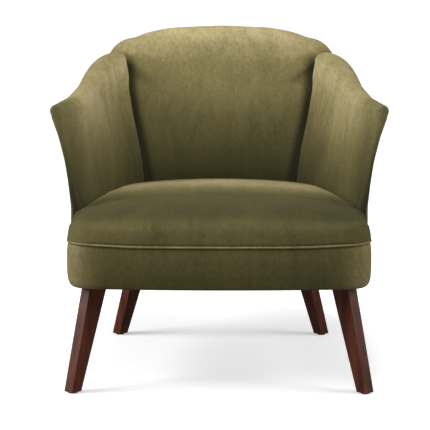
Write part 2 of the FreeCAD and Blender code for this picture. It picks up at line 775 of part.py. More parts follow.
os.makedirs("parts", exist_ok=True)
for name, shape in parts.items():
    placed = shape.translated(V(0, -y_middle, 0))
    placed.exportStep("parts/" + name + ".step")
    print(name, len(shape.Solids), round(shape.Volume))
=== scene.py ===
# %% [markdown]
# # A velvet accent chair
# The chair is an upholstered one: a crowned seat with a corded edge, two flared arms that sweep up into an arched
# back, and four splayed wooden legs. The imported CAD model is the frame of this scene: it says where every piece is,
# and the hard pieces keep its meshes. The large soft pieces are drawn on grids from the same sizes and then blown
# up, as stuffing does under a real cover; the flat panels are relaxed copies of the solids.

import math

import bmesh
import bpy
import numpy as np
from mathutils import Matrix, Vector, geometry
from mathutils.bvhtree import BVHTree


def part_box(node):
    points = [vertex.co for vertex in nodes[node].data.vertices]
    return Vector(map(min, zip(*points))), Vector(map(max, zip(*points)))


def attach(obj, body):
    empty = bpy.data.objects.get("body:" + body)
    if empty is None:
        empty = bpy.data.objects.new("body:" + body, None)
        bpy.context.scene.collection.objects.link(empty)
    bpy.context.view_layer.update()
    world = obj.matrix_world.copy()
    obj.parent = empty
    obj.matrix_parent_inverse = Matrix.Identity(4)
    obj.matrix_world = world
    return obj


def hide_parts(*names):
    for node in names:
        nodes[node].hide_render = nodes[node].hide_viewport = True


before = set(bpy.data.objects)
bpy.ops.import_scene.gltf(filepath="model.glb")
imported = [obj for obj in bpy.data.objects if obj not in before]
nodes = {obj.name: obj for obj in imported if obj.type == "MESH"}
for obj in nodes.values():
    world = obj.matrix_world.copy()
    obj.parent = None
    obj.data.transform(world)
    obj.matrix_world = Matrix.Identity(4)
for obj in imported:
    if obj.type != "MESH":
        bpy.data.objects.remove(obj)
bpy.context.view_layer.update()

# %% [markdown]
# ## Where the camera stands
# The photograph was taken from about four metres with a long lens, a little above the seat and looking slightly
# down. The chair's right side stands a hair farther away than its left one, so the camera goes round by under a
# degree. Turning the camera, and not shifting its lens, places the chair in the picture.

# %% The camera
picture_side = 430
focal_pixels = 1690.0
camera_distance = 4.031
camera_height = 0.985
looks_down = math.radians(8.91)
goes_round = math.radians(-0.4)
off_centre = math.atan(5.0 / focal_pixels)

lens = bpy.data.cameras.new("camera")
lens.sensor_width = 36.0
lens.lens = lens.sensor_width * focal_pixels / picture_side
camera = bpy.data.objects.new("camera", lens)
camera.location = (-camera_distance * math.sin(goes_round), -camera_distance * math.cos(goes_round), camera_height)
camera.rotation_euler = (math.pi / 2 - looks_down, 0.0, off_centre - goes_round)
bpy.context.scene.collection.objects.link(camera)
bpy.context.scene.camera = camera
print("lens", round(lens.lens, 1), "mm")

# %% [markdown]
# ## Shader maths as plain expressions
# A material is a tree of nodes. Writing `0.4 + 0.2 * grain` is easier to read than three nodes and their links, so
# a small class wraps an output socket, and its operators add the Math nodes. Every other kind of node comes from
# one function, which sets the node's own settings before its sockets; the staples' tree uses it too.

# %% A socket that understands arithmetic
def join(tree, value, socket):
    """Links a value's socket, or sets a plain one."""
    value = getattr(value, "socket", value)
    if isinstance(value, bpy.types.NodeSocket):
        tree.links.new(value, socket)
    else:
        socket.default_value = value


def add_node(tree, kind, settings=None, sockets=None, out=0):
    """A new node's output, after its settings and sockets are filled in."""
    made = tree.nodes.new(kind)
    for key, value in (settings or {}).items():
        setattr(made, key, value)
    for key, value in (sockets or {}).items():
        join(tree, value, made.inputs[key])
    return made.outputs[out]


class Value:
    """An output socket of a shader tree; arithmetic on it adds Math nodes."""

    def __init__(self, finish, socket):
        self.finish = finish
        self.socket = socket

    def math(self, operation, other):
        return self.finish.node("ShaderNodeMath", {"operation": operation}, {0: self, 1: other})

    def __add__(self, other):
        return self.math("ADD", other)

    def __sub__(self, other):
        return self.math("SUBTRACT", other)

    def __mul__(self, other):
        return self.math("MULTIPLY", other)

    __radd__ = __add__
    __rmul__ = __mul__


class Finish:
    """A material with one Principled shader, and the nodes that feed it."""

    def __init__(self, name, **constants):
        self.material = bpy.data.materials.new(name)
        self.material.use_nodes = True
        self.tree = self.material.node_tree
        self.shader = self.tree.nodes["Principled BSDF"]
        self.feed(**constants)

    def feed(self, **sockets):
        for key, value in sockets.items():
            join(self.tree, value, self.shader.inputs[key.replace("_", " ")])

    def node(self, kind, settings=None, sockets=None, out=0):
        return Value(self, add_node(self.tree, kind, settings, sockets, out))

    def ramp(self, share, *stops):
        """A colour from a row of places and colours."""
        made = self.node("ShaderNodeValToRGB", None, {"Fac": share})
        elements = made.socket.node.color_ramp.elements
        while len(elements) < len(stops):
            elements.new(1.0)
        for element, (place, shade) in zip(elements, stops):
            element.position, element.color = place, shade
        return made

    def place(self, stretch=(1.0, 1.0, 1.0)):
        """Object coordinates in metres, stretched along the axes."""
        where = self.node("ShaderNodeTexCoord", out="Object")
        return self.node("ShaderNodeMapping", None, {"Vector": where, "Scale": stretch})

    def noise(self, scale, detail=2.0, roughness=0.5, stretch=(1.0, 1.0, 1.0), warp=0.0):
        return self.node("ShaderNodeTexNoise", None,
                         {"Vector": self.place(stretch), "Scale": scale, "Detail": detail, "Roughness": roughness,
                          "Distortion": warp})

    def between(self, low, high, share):
        """A colour between two, by a value."""
        return self.node("ShaderNodeMix", {"data_type": "RGBA", "clamp_factor": True},
                         {"Factor": share, 6: low, 7: high}, out=2)

    def bump(self, height, distance, strength=1.0, over=None):
        sockets = {"Height": height, "Distance": distance, "Strength": strength}
        if over is not None:
            sockets["Normal"] = over
        return self.node("ShaderNodeBump", None, sockets)


def colour(red, green, blue):
    """A colour as it is read off a screen, 0 to 255, turned into the linear light that shaders use."""
    steps = [c / 255.0 for c in (red, green, blue)]
    return tuple(c / 12.92 if c <= 0.04045 else ((c + 0.055) / 1.055) ** 2.4 for c in steps) + (1.0,)


print("shader helpers are ready")

# %% [markdown]
# ## Velvet
# Velvet is a cut pile: short fibres stand up from the ground cloth and lean the way they were last stroked.
# Each velvet piece carries a value at every point, named tone, which is painted light and shade: painted highlights
# over the rolled crests, painted shade deep in the cavity over the seat and along the creases, darker lower down.
# The colour is read from it. Soft streaks along the cloth, broad patches and small spots disturb it, and a very fine
# noise is the pile itself. A little sheen gives the rim.

# %% The velvet of the whole cover
velvet = Finish("olive_velvet", Sheen_Weight=0.09, Sheen_Roughness=0.4, Sheen_Tint=colour(226, 212, 160),
                Specular_IOR_Level=0.08)
streaks = velvet.noise(22.0, 3.0, 0.6, stretch=(1.0, 0.8, 0.22), warp=0.8)
patches = velvet.noise(5.0, 2.0, 0.5, warp=0.4)
speckle = velvet.noise(260.0, 3.0, 0.7)
pile = velvet.noise(1100.0, 2.0, 0.6)
# tone is painted light and shade, written at every point by the rules further down; lean mixes it with the cloth's own
# streaks, patches and spots
tone = velvet.node("ShaderNodeAttribute", {"attribute_name": "tone"}, out="Fac")
mottle = velvet.noise(130.0, 4.0, 0.7, stretch=(1.0, 0.7, 0.7), warp=0.3)
stroke = 0.28 * streaks + 0.2 * patches + 0.34 * mottle + 0.18 * speckle
lean = tone * (1.0 + 2.9 * (stroke - 0.5)) + 0.05 * (pile - 0.5)
painted_shade_pile_colour = velvet.ramp(
    lean, (0.0, colour(34, 33, 19)), (0.125, colour(70, 66, 38)), (0.346, colour(104, 96, 62)),
    (0.69, colour(146, 134, 99)), (1.0, colour(174, 162, 122)))
velvet.feed(Base_Color=painted_shade_pile_colour, Roughness=0.72 + 0.2 * stroke,
            Normal=velvet.bump(pile, 0.0005, 0.4, over=velvet.bump(streaks, 0.003, 0.25)))
print("velvet has", len(velvet.tree.nodes), "nodes")

# %% [markdown]
# ## Stained wood
# The legs are a straight-grained hardwood under a dark red-brown stain and a thin satin lacquer. Grain is a noise
# drawn out along the leg, and the pores are a finer one. The frame's bare timber is made the same way, unstained.

# %% The legs' stain and the frame's bare timber
def timber(name, dark, light, grain_scale, roughness, coat):
    finish = Finish(name, Coat_Weight=coat, Coat_Roughness=0.25, Specular_IOR_Level=0.4)
    grain = finish.noise(grain_scale, 5.0, 0.6, stretch=(1.0, 1.0, 0.07), warp=0.8)
    pores = finish.noise(grain_scale * 9, 2.0, 0.5, stretch=(1.0, 1.0, 0.05))
    tone = finish.node("ShaderNodeMapRange", None, {"Value": 0.7 * grain + 0.3 * pores, "From Min": 0.35,
                                                    "From Max": 0.65})
    finish.feed(Base_Color=finish.between(dark, light, tone), Roughness=roughness + 0.12 * pores,
                Normal=finish.bump(pores, 0.0003, 0.35))
    return finish


leg_stain = timber("stained_leg_wood", colour(46, 18, 8), colour(100, 47, 24), 60.0, 0.42, 0.08)
frame_timber = timber("frame_timber", colour(176, 138, 92), colour(214, 180, 132), 40.0, 0.7, 0.0)
print("two timbers made")

# %% [markdown]
# ## Cloth, foam and metal
# What lies under the cover shows from below and in cut views: woven straps, a deck cloth, a black dust cover of
# felted fibres, pale foam, yellow-passivated leg plates, steel screws and nylon glides.

# %% The inner materials
def woven(name, dark, light, threads):
    """Plain weave: two crossed waves, with fuzz."""
    finish = Finish(name, Roughness=0.9, Sheen_Weight=0.15)
    bands = [finish.node("ShaderNodeTexWave", {"wave_type": "BANDS", "bands_direction": axis},
                         {"Vector": finish.place(), "Scale": threads, "Distortion": 1.2, "Detail": 2.0}, out=1)
             for axis in ("X", "Y")]
    fuzz = finish.noise(300.0, 2.0)
    weave = 0.4 * bands[0] + 0.4 * bands[1] + 0.2 * fuzz
    finish.feed(Base_Color=finish.between(dark, light, weave), Normal=finish.bump(weave, 0.0008, 0.6))
    return finish


def grainy(name, dark, light, scale, depth, **constants):
    """A plain material with an uneven surface."""
    finish = Finish(name, **constants)
    grain = finish.noise(scale, 4.0, 0.6)
    finish.feed(Base_Color=finish.between(dark, light, grain),
                Roughness=constants["Roughness"] + 0.15 * (grain - 0.5), Normal=finish.bump(grain, depth, 0.5))
    return finish


webbing = woven("webbing", colour(120, 96, 60), colour(196, 170, 122), 160.0)
deck_cloth = woven("deck_cloth", colour(196, 190, 176), colour(226, 221, 208), 260.0)
dust_cloth = grainy("dust_cloth", colour(16, 16, 17), colour(42, 42, 44), 420.0, 0.0006, Roughness=0.92)
foam = grainy("foam", colour(226, 206, 150), colour(244, 232, 186), 350.0, 0.0012, Roughness=0.9)
zinc = grainy("yellow_zinc", colour(150, 118, 62), colour(205, 178, 112), 90.0, 0.0002, Roughness=0.38, Metallic=1.0)
steel = grainy("fixing_steel", colour(120, 118, 114), colour(178, 176, 170), 140.0, 0.0002, Roughness=0.35,
               Metallic=1.0)
nylon = grainy("nylon", colour(28, 27, 26), colour(52, 50, 48), 240.0, 0.0003, Roughness=0.55)
print("seven inner materials made")

# %% [markdown]
# ## Dressing the hard pieces
# A hard piece keeps its CAD mesh and only gets a better material. The groups follow the record's slots.

# %% Materials for the CAD nodes that stay
def both(*names):
    return tuple(name + side for name in names for side in ("_left", "_right"))


finishes = {
    "leg_wood": (leg_stain, both("leg_front", "leg_rear")),
    "frame_wood": (frame_timber, ("front_seat_rail", "back_seat_rail", "crest_rail", "back_tack_rail", "corner_blocks")
                   + both("side_seat_rail", "back_post", "arm_post", "arm_top_rail", "arm_tack_rail")),
    "webbing": (webbing, ("seat_webbing_long", "seat_webbing_cross", "back_webbing")),
    "deck_cloth": (deck_cloth, ("seat_deck_cloth",)),
    "dust_cloth": (dust_cloth, ("dust_cover",)),
    "zinc_plate": (zinc, ("leg_plates",)),
    "fixing_steel": (steel, ("hanger_bolts", "plate_screws")),
    "nylon": (nylon, ("foot_glides",)),
}
for slot_name, (finish, members) in finishes.items():
    for member in members:
        piece = nodes[member]
        piece.data.materials.clear()
        piece.data.materials.append(finish.material)
print("dressed", sum(len(members) for finish, members in finishes.values()), "hard pieces")

# %% [markdown]
# ## How a soft piece is made
# A stuffed panel is a cover held at its seams and pushed out by what fills it. The flat outside panels and the foam
# are copies of the CAD solids, cut into small even cells and relaxed, which rounds their edges. The pads of seat,
# arms, back and border are drawn on grids further down, and the cloth simulation blows them up a little while their
# seams are held. Only outward moves count in full, and a cap keeps every point near its start.

# %% Helpers for the soft pieces
blow_frames = 20
inward_share = 0.12     # what counts of a move inwards, because a cover doesn't sink into its stuffing


def new_piece(name, mesh):
    piece = bpy.data.objects.new(name, mesh)
    bpy.context.scene.collection.objects.link(piece)
    return piece


def evaluated_mesh(piece):
    """The piece's mesh with its modifiers, as a mesh of its own."""
    bpy.context.view_layer.update()
    graph = bpy.context.evaluated_depsgraph_get()
    return bpy.data.meshes.new_from_object(piece.evaluated_get(graph))


def settle(piece):
    """Modifiers become the mesh."""
    mesh = evaluated_mesh(piece)
    piece.modifiers.clear()
    piece.data = mesh


def copy_of(node, name):
    piece = new_piece(name, nodes[node].data.copy())
    work = bmesh.new()
    work.from_mesh(piece.data)
    bmesh.ops.remove_doubles(work, verts=work.verts, dist=2e-5)
    work.to_mesh(piece.data)
    work.free()
    return piece


def points_of(mesh):
    flat = np.zeros(len(mesh.vertices) * 3)
    mesh.vertices.foreach_get("co", flat)
    return flat.reshape(-1, 3)


def normals_of(piece):
    return np.array([v.normal[:] for v in piece.data.vertices])


def move_points(piece, points):
    piece.data.vertices.foreach_set("co", points.ravel())
    piece.data.update()


def blown(piece, pressure, cap):
    """Cloth under pressure, held at its seams; says how far it moved at most and on average."""
    scene = bpy.context.scene
    start = points_of(piece.data)
    cloth = piece.modifiers.new("cloth", "CLOTH")
    cloth.settings.quality = 5
    cloth.settings.mass = 0.3
    cloth.settings.use_pressure = True
    cloth.settings.uniform_pressure_force = pressure
    cloth.settings.effector_weights.gravity = 0.0
    cloth.settings.vertex_group_mass = "held"
    cloth.collision_settings.use_collision = False
    cloth.point_cache.frame_start = 1
    cloth.point_cache.frame_end = blow_frames
    for number in range(1, blow_frames + 1):
        scene.frame_set(number)
    moved = points_of(evaluated_mesh(piece)) - start
    outwards = (moved * normals_of(piece)).sum(axis=1, keepdims=True)
    moved *= np.where(outwards > 0.0, 1.0, inward_share)
    far = np.linalg.norm(moved, axis=1, keepdims=True)
    moved *= np.minimum(1.0, cap / np.maximum(far, 1e-9))
    piece.modifiers.clear()
    move_points(piece, start + moved)
    scene.frame_set(1)
    return float(far.max()), float(np.linalg.norm(moved, axis=1).mean())


def back_to_size(piece, node, more=0.0014):
    """Smoothing draws a thin panel in a little; this stretches it back to the solid's box, and a little outwards."""
    points = points_of(piece.data)
    low, high = points.min(axis=0), points.max(axis=0)
    wanted_low, wanted_high = [np.array(corner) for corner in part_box(node)]
    share = (points - low) / (high - low)
    move_points(piece, wanted_low + share * (wanted_high - wanted_low) + more * normals_of(piece))


def dress(piece, node, finish):
    for polygon in piece.data.polygons:
        polygon.use_smooth = True
    piece.data.materials.clear()
    piece.data.materials.append(finish.material)
    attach(piece, "root")
    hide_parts(node)


def soft_piece(node, name, cell, rounds, finish=velvet):
    """A dressed copy of a solid in small even cells, with its edges relaxed."""
    piece = copy_of(node, name)
    cells = piece.modifiers.new("cells", "REMESH")
    cells.mode = "VOXEL"
    cells.voxel_size = cell
    settle(piece)
    relax = piece.modifiers.new("relax", "SMOOTH")
    relax.factor = 0.5
    relax.iterations = rounds
    settle(piece)
    dress(piece, node, finish)
    print(name, len(piece.data.vertices), "points")
    return piece


print("helpers for the soft pieces are ready")

# %% [markdown]
# ## The chair's own sizes
# The pads are drawn from the same few sizes as the solid model, in millimetres: x to the right, t from the front of
# the seat to the back, z up. Between the places where a size is given, a smooth curve runs through them, so the
# cover has no creases where the solids' flat strips meet.

# %% Sizes in millimetres
middle_t = 361.15
seat_half_width, seat_rear_half_width, seat_corner_t, seat_rear_t = 341.0, 230.0, 110.0, 590.0
front_bow, corner_radius = 13.0, 58.0
welt_height, welt_radius = 336.0, 2.7
rail_bottom, chair_height = 240.0, 795.0
arm_front = 122.0
arm_places = (122.0, 175.0, 260.0, 380.0, 520.0, 615.0, 680.0)
crest_out = (380.0, 371.0, 355.0, 342.0, 328.0, 305.0, 266.0)
crest_top = (640.0, 645.0, 654.0, 677.0, 715.0, 729.0, 722.0)
crest_roll = (13.0, 18.0, 21.0, 25.0, 31.0, 34.0, 34.0)
arm_thick = (19.0, 25.0, 35.0, 55.0, 82.0, 104.0, 124.0)
seat_line, flare_height, seam_drop = 400.0, 394.0, 6.0
inside_back_t, inside_rake, outside_base_t, crest_depth = 544.0, 0.285, 668.0, 80.0
back_base_half, back_waist_half, back_shoulder_half = 250.0, 259.0, 293.0
shoulder_radius, crest_sag, back_edge = 74.0, 30.0, 38.0
steps_from_edge = (0.0, 0.6, 1.6, 3.0, 5.0, 8.0, 12.0, 17.0, 24.0, 33.0)


def in_frame(points):
    """Millimetres in the chair's own directions become metres in the frame."""
    moved = np.array(points, dtype=float)
    moved[..., 1] -= middle_t
    return moved * 0.001


def smooth_through(places, values, at):
    """A smooth curve through the values at the places."""
    places = np.array(places, dtype=float)
    values = np.array(values, dtype=float)
    before = np.maximum(np.arange(len(places)) - 1, 0)
    after = np.minimum(np.arange(len(places)) + 1, len(places) - 1)
    slopes = (values[after] - values[before]) / (places[after] - places[before])
    at = np.clip(at, places[0], places[-1])
    k = np.clip(np.searchsorted(places, at, side="right") - 1, 0, len(places) - 2)
    length = places[k + 1] - places[k]
    u = (at - places[k]) / length
    start = (1 + 2 * u) * (1 - u) ** 2 * values[k] + u * (1 - u) ** 2 * length * slopes[k]
    return start + u ** 2 * (3 - 2 * u) * values[k + 1] + u ** 2 * (u - 1) * length * slopes[k + 1]


def circle_through(a, b, c):
    rows = np.array([[2 * (b[0] - a[0]), 2 * (b[1] - a[1])], [2 * (c[0] - a[0]), 2 * (c[1] - a[1])]])
    sums = np.array([b[0] ** 2 + b[1] ** 2 - a[0] ** 2 - a[1] ** 2, c[0] ** 2 + c[1] ** 2 - a[0] ** 2 - a[1] ** 2])
    x, t = np.linalg.solve(rows, sums)
    return x, t, math.hypot(a[0] - x, a[1] - t)


side_x0, side_t0, side_radius = circle_through((336.0, 125.0), (320.0, 330.0), (256.0, 595.0))


def side_x(t):
    """Half width over the arms' straight outer sides."""
    return side_x0 + np.sqrt(side_radius ** 2 - (t - side_t0) ** 2)


print("the outer sides are arcs of", round(side_radius), "mm radius")

# %% [markdown]
# ## Skins on a grid
# A tailor cuts a panel from flat cloth, so its threads stay in rows. A soft piece here is a grid of points too: an
# outer skin, an inner skin a little under it, and walls round the edge that join them. Such a mesh has even faces
# that follow the form, and the cloth simulation likes it better than triangles of all sizes.

# %% From two grids to a closed pad
def mesh_piece(name, points, faces, held):
    """A piece from millimetre points, with the points that its seams and frame hold."""
    mesh = bpy.data.meshes.new(name)
    mesh.from_pydata([tuple(p) for p in in_frame(points)], [], [[int(i) for i in f] for f in faces])
    piece = new_piece(name, mesh)
    piece.vertex_groups.new(name="held").add([int(i) for i in held], 1.0, "REPLACE")
    tidy = bmesh.new()
    tidy.from_mesh(mesh)
    bmesh.ops.delete(tidy, geom=[v for v in tidy.verts if not v.link_faces], context="VERTS")
    bmesh.ops.recalc_face_normals(tidy, faces=tidy.faces)
    tidy.to_mesh(mesh)
    tidy.free()
    return piece


def pad_from_grids(name, outer, inner, used=None):
    """A closed mesh from two matching grids; used says which of their cells belong to the piece."""
    rows, columns = outer.shape[:2]
    used = np.ones((rows - 1, columns - 1), bool) if used is None else used
    flat = outer.reshape(-1, 3)
    first, number = np.unique(np.round(flat, 2), axis=0, return_index=True, return_inverse=True)[1:]
    number = number.reshape(rows, columns)
    count = len(first)
    faces = []
    sides = {}
    for r, c in zip(*np.nonzero(used)):
        ring = [number[r, c], number[r, c + 1], number[r + 1, c + 1], number[r + 1, c]]
        ring = [a for a, b in zip(ring, ring[1:] + ring[:1]) if a != b]
        if len(set(ring)) < 3:
            continue
        faces.append(ring)
        faces.append([count + a for a in ring[::-1]])
        for a, b in zip(ring, ring[1:] + ring[:1]):
            sides.setdefault((min(a, b), max(a, b)), []).append((a, b))
    rim = [found[0] for found in sides.values() if len(found) == 1]
    faces += [[b, a, count + a, count + b] for a, b in rim]
    points = np.concatenate([flat[first], inner.reshape(-1, 3)[first]])
    held = {int(i) for edge in rim for i in edge} | set(range(count, 2 * count))
    return mesh_piece(name, points, faces, sorted(held))


def tube(name, loops, held_columns):
    """A closed mesh from rows of closed loops, with a cap at either end."""
    rows, columns = loops.shape[:2]
    number = np.arange(rows * columns).reshape(rows, columns)
    faces = []
    for r in range(rows - 1):
        for c in range(columns):
            d = (c + 1) % columns
            faces.append([number[r, c], number[r, d], number[r + 1, d], number[r + 1, c]])
    faces += [list(number[0, ::-1]), list(number[-1])]
    held = sorted({int(i) for i in number[:, held_columns].ravel()} | {int(i) for i in number[[0, -1]].ravel()})
    return mesh_piece(name, loops.reshape(-1, 3), faces, held)


def round_over(distance, radius):
    """How far a rounded edge has fallen at a distance from it."""
    share = np.clip(1.0 - np.asarray(distance, float) / radius, 0.0, 1.0)
    return radius * (1.0 - np.sqrt(1.0 - share ** 2))


print("grid helpers are ready")

# %% [markdown]
# ## The inside of an arm
# Each arm is one swooping form. At the front it is a thin blade whose rolled edge stands out to the side; towards
# the back it grows thicker and higher, and its inner face leans. Every section across the arm has the same parts:
# a leaning inner line, a roll on top, a flare on the outer side. The inside pad takes the inner line, the roll and
# the half-round front edge, and ends in a seam under the roll.

# %% One section of the arm
inner_points, roll_points, seam_points, flare_points, side_points = 40, 14, 3, 29, 9
seam_column = inner_points + 2 * roll_points + seam_points
foot_z = 328.0


def arm_section(t):
    """Points from the inner foot over the roll and down the outer side, at one depth."""
    out, top, roll, thick = [smooth_through(arm_places, v, t) for v in (crest_out, crest_top, crest_roll, arm_thick)]
    x = side_x(t)
    cx, cz = out - roll, top - roll
    rise = cz - flare_height
    flare = ((cx - x) ** 2 + rise ** 2 - roll ** 2) / (2 * (out - x))
    dx, dz = cx - (x - thick), cz - seat_line
    lean = math.atan2(dx, dz) - math.asin(roll / math.hypot(dx, dz))
    angle = math.atan2(rise, flare + x - cx)
    meet = np.array([cx - roll * math.cos(lean), cz + roll * math.sin(lean)])
    foot = np.array([meet[0] + (foot_z - meet[1]) * math.tan(lean), foot_z])
    rising = [foot + (meet - foot) * s for s in np.linspace(0, 1, inner_points + 1)[:-1]]
    turns = list(np.linspace(math.pi - lean, 0.5 * math.pi, roll_points + 1)[:-1])
    turns += list(np.linspace(0.5 * math.pi, -angle, roll_points + 1)[:-1])
    rolled = [(cx + roll * math.cos(a), cz + roll * math.sin(a)) for a in turns]
    seam_angle = math.asin((cz - roll * math.sin(angle) - seam_drop - flare_height) / flare)
    turns = list(np.linspace(angle, seam_angle, seam_points + 1)[:-1])
    turns += list(np.linspace(seam_angle, 0.0, flare_points + 1)[:-1])
    flared = [(x + flare - flare * math.cos(a), flare_height + flare * math.sin(a)) for a in turns]
    falling = [(x, z) for z in np.linspace(flare_height, foot_z, side_points)]
    return np.array([(px, t, pz) for px, pz in rising + rolled + flared + falling])


table_step = 2.0
section_table = np.array([arm_section(t) for t in np.arange(arm_front, 700.0, table_step)])
section_count = section_table.shape[1]


def arm_row(depths):
    """A row across the arm whose points may each lie at their own depth."""
    at = (np.broadcast_to(depths, (section_count,)) - arm_front) / table_step
    k = np.clip(at.astype(int), 0, len(section_table) - 2)
    share = (at - k)[:, None]
    column = np.arange(section_count)
    return section_table[k, column] * (1 - share) + section_table[k + 1, column] * share


print("a section has", section_count, "points, and its seam is at", seam_column)

# %% [markdown]
# ## The arm as two grids
# The sections stand one behind the other, from a half-round nose at the front to the back. There the pad ends in a
# soft rolled edge, at the place where a ray shot along each thread of the cloth meets the inside back. The inner
# grid lies a wall's thickness under the outer one, or less where the arm is thin.

# %% The arm's form as two grids
nose, wall, rear_roll, tip_wall = 9.5, 12.0, 14.0, 5.0
arm_rows = 44
probe_start, probe_end, probe_step = 380.0, 694.0, 4.0
threads_evened = 9


def step_up(value, low, high):
    """A soft step from 0 at the low value to 1 at the high one."""
    u = np.clip((value - low) / (high - low), 0.0, 1.0)
    return u * u * (3 - 2 * u)


def shifted(points, axis, by):
    """A copy of the points, moved along one axis."""
    moved = np.array(points, dtype=float)
    moved[..., axis] += by
    return moved


def inwards(row):
    """Across the row, towards the inside of the arm."""
    run = np.gradient(row, axis=0)
    across = np.stack([run[:, 2], np.zeros(len(run)), -run[:, 0]], axis=1)
    return across / np.linalg.norm(across, axis=1, keepdims=True)


def middle_line(row):
    """For each point, the middle between the inner and outer sides."""
    return 0.5 * (row + row[::-1])


def ends_at_back():
    """The depth at which each thread of the arm runs into the back."""
    back = nodes["inside_back_pad"].data
    tree = BVHTree.FromPolygons([v.co.copy() for v in back.vertices], [list(p.vertices) for p in back.polygons])
    depths = np.arange(probe_start, probe_end, probe_step)
    rows = in_frame(np.array([arm_row(t) for t in depths]))
    ends = np.full(section_count, depths[-1])
    for i in range(seam_column + 1):
        for k in range(len(depths) - 1):
            a, b = Vector(rows[k, i]), Vector(rows[k + 1, i])
            hit = tree.ray_cast(a, (b - a).normalized(), (b - a).length)[0]
            if hit is not None:
                ends[i] = depths[k] + probe_step * (hit - a).length / (b - a).length
                break
    ends[seam_column:] = ends[seam_column]
    margin = threads_evened // 2
    padded = np.concatenate([[ends[0]] * margin, ends, [ends[-1]] * margin])
    return np.convolve(padded, np.ones(threads_evened) / threads_evened, "valid")


def arm_grids(ends):
    outer = []
    inner = []
    tip = arm_row(arm_front + tip_wall)
    core = middle_line(tip)
    for turn in np.radians(np.arange(0.0, 90.0, 15.0)):
        row = arm_row(arm_front + nose * (1 - math.cos(turn)))
        middle = middle_line(row)
        outer.append(middle + (row - middle) * math.sin(turn))
        inner.append(core + (tip - core) * 0.15 * math.sin(turn))
        inner[-1][:, 1] += tip_wall * (1 - math.cos(turn))
    start = arm_front + nose
    depths = [start + (ends - steps_from_edge[-1] - start) * number / arm_rows for number in range(arm_rows)]
    depths += [ends - step for step in steps_from_edge[::-1]]
    for depth in depths:
        row = arm_row(depth)
        fall = round_over(ends - depth, rear_roll)[:, None]
        gap = np.linalg.norm(middle_line(row) - row, axis=1)[:, None]
        outer.append(row + inwards(row) * fall)
        inner.append(row + inwards(row) * np.maximum(np.minimum(wall, np.maximum(0.85 * gap, 4.0)), fall + 1.0))
    return np.array(outer), np.array(inner)


def spread_out(points, side=1.0):
    """The covers stand a little wider than the frame in front; side is -1 on the left."""
    t, z = points[..., 1], points[..., 2]
    out = 4.2 * step_up(z, 400.0, 450.0) * (1 - step_up(z, 665.0, 700.0)) * (1 - step_up(t, 260.0, 400.0))
    return shifted(points, 0, side * out)


def lean_out(points):
    """Behind, the inner face leans out by some millimetres, as far as the top rail leaves room."""
    t, z = points[..., 1], points[..., 2]
    inner_side = 1 - step_up(np.arange(section_count), inner_points - 8.0, inner_points + 12.0)
    out = 7.0 * step_up(z, 450.0, 600.0) * (1 - 0.75 * step_up(z, 630.0, 690.0)) * step_up(t, 300.0, 470.0)
    return shifted(points, 0, out * inner_side)


arm_ends = ends_at_back()
arm_outer, arm_inner = [spread_out(lean_out(grid)) for grid in arm_grids(arm_ends)]
arm_cells = np.zeros((arm_outer.shape[0] - 1, section_count - 1), bool)
arm_cells[:, :seam_column] = True
arm_cells[:4, :] = True
print("arm grid", arm_outer.shape, "ends between", round(arm_ends.min()), "and", round(arm_ends.max()), "mm")

# %% [markdown]
# ## The inside back
# The inside back is one tight panel. It runs up to the arched crest, turns over it in a half round as thick as the
# back, and ends in a seam on the outer side. A grid can carry that form: its middle fills the raked panel, and its
# outer rows and columns wrap round the edge. In the two upper corners the wrapped cells shrink to nothing.

# %% The back's outline and its grid
side_z = chair_height - crest_sag - shoulder_radius
seam_side_count, corner_count, arch_count, ring_count = 42, 9, 26, 14


def arc_points(a, b, c, count):
    """Points on the arc through three places, both ends included."""
    x, z, radius = circle_through(a, b, c)
    turns = np.unwrap([math.atan2(p[1] - z, p[0] - x) for p in (a, b, c)])
    return [(x + radius * math.cos(u), z + radius * math.sin(u)) for u in np.linspace(turns[0], turns[2], count + 1)]


def length_along(line):
    return np.concatenate([[0], np.cumsum(np.linalg.norm(np.diff(line, axis=0), axis=1))])


def places_on(line, at):
    """Points on a plane line, at distances along it."""
    length = length_along(line)
    return np.stack([np.interp(at, length, line[:, c]) for c in (0, 1)], axis=1)


def back_outline(inset, bottom):
    """Half the back's outline, from its foot up to the middle of the arch, smoothed a little."""
    r = shoulder_radius - inset
    base, waist, edge = [v - inset for v in (back_base_half, back_waist_half, back_shoulder_half)]
    k = math.sqrt(0.5)
    shoulder = (edge - r + k * r, side_z + k * r)
    arch = (edge - 0.90 * r, side_z + 0.985 * r)
    top = chair_height - inset
    side = arc_points((base, rail_bottom), (waist, 0.5 * (rail_bottom + side_z)), (edge, side_z), 200)
    side = [p for p in side if p[1] > bottom]
    line = np.array([(side[0][0], bottom)] + side[:-1] + arc_points((edge, side_z), shoulder, arch, 60)[:-1]
                    + arc_points(arch, (0.0, top), (-arch[0], arch[1]), 240)[:121])
    run = np.concatenate([line, line[-2::-1] * (-1, 1)])
    run = places_on(run, np.arange(0.0, length_along(run)[-1], 2.0))
    window = np.ones(13) / 13.0
    soft = np.stack([np.convolve(run[:, c], window, "same") for c in (0, 1)], axis=1)
    soft[:7], soft[-7:] = run[:7], run[-7:]
    half = soft[:np.argmax(soft[:, 0] < 0)]
    length = length_along(half)
    at_seam = np.interp(side_z, half[:, 1][:200], length[:200])
    slant = np.argmin(np.abs(np.degrees(np.arctan2(np.gradient(half[:, 1]), -np.gradient(half[:, 0]))) - 45.0)
                      + 1000.0 * (half[:, 1] < side_z))
    at_corner = length[slant]
    at_top = length[-1] + half[-1, 0]
    places = np.concatenate([np.linspace(0, at_seam, seam_side_count + 1)[:-1],
                             np.linspace(at_seam, at_corner, corner_count + 1)[:-1],
                             np.linspace(at_corner, at_top, arch_count + corner_count + 1)])
    points = places_on(half, places)
    points[-1, 0] = 0.0
    return points


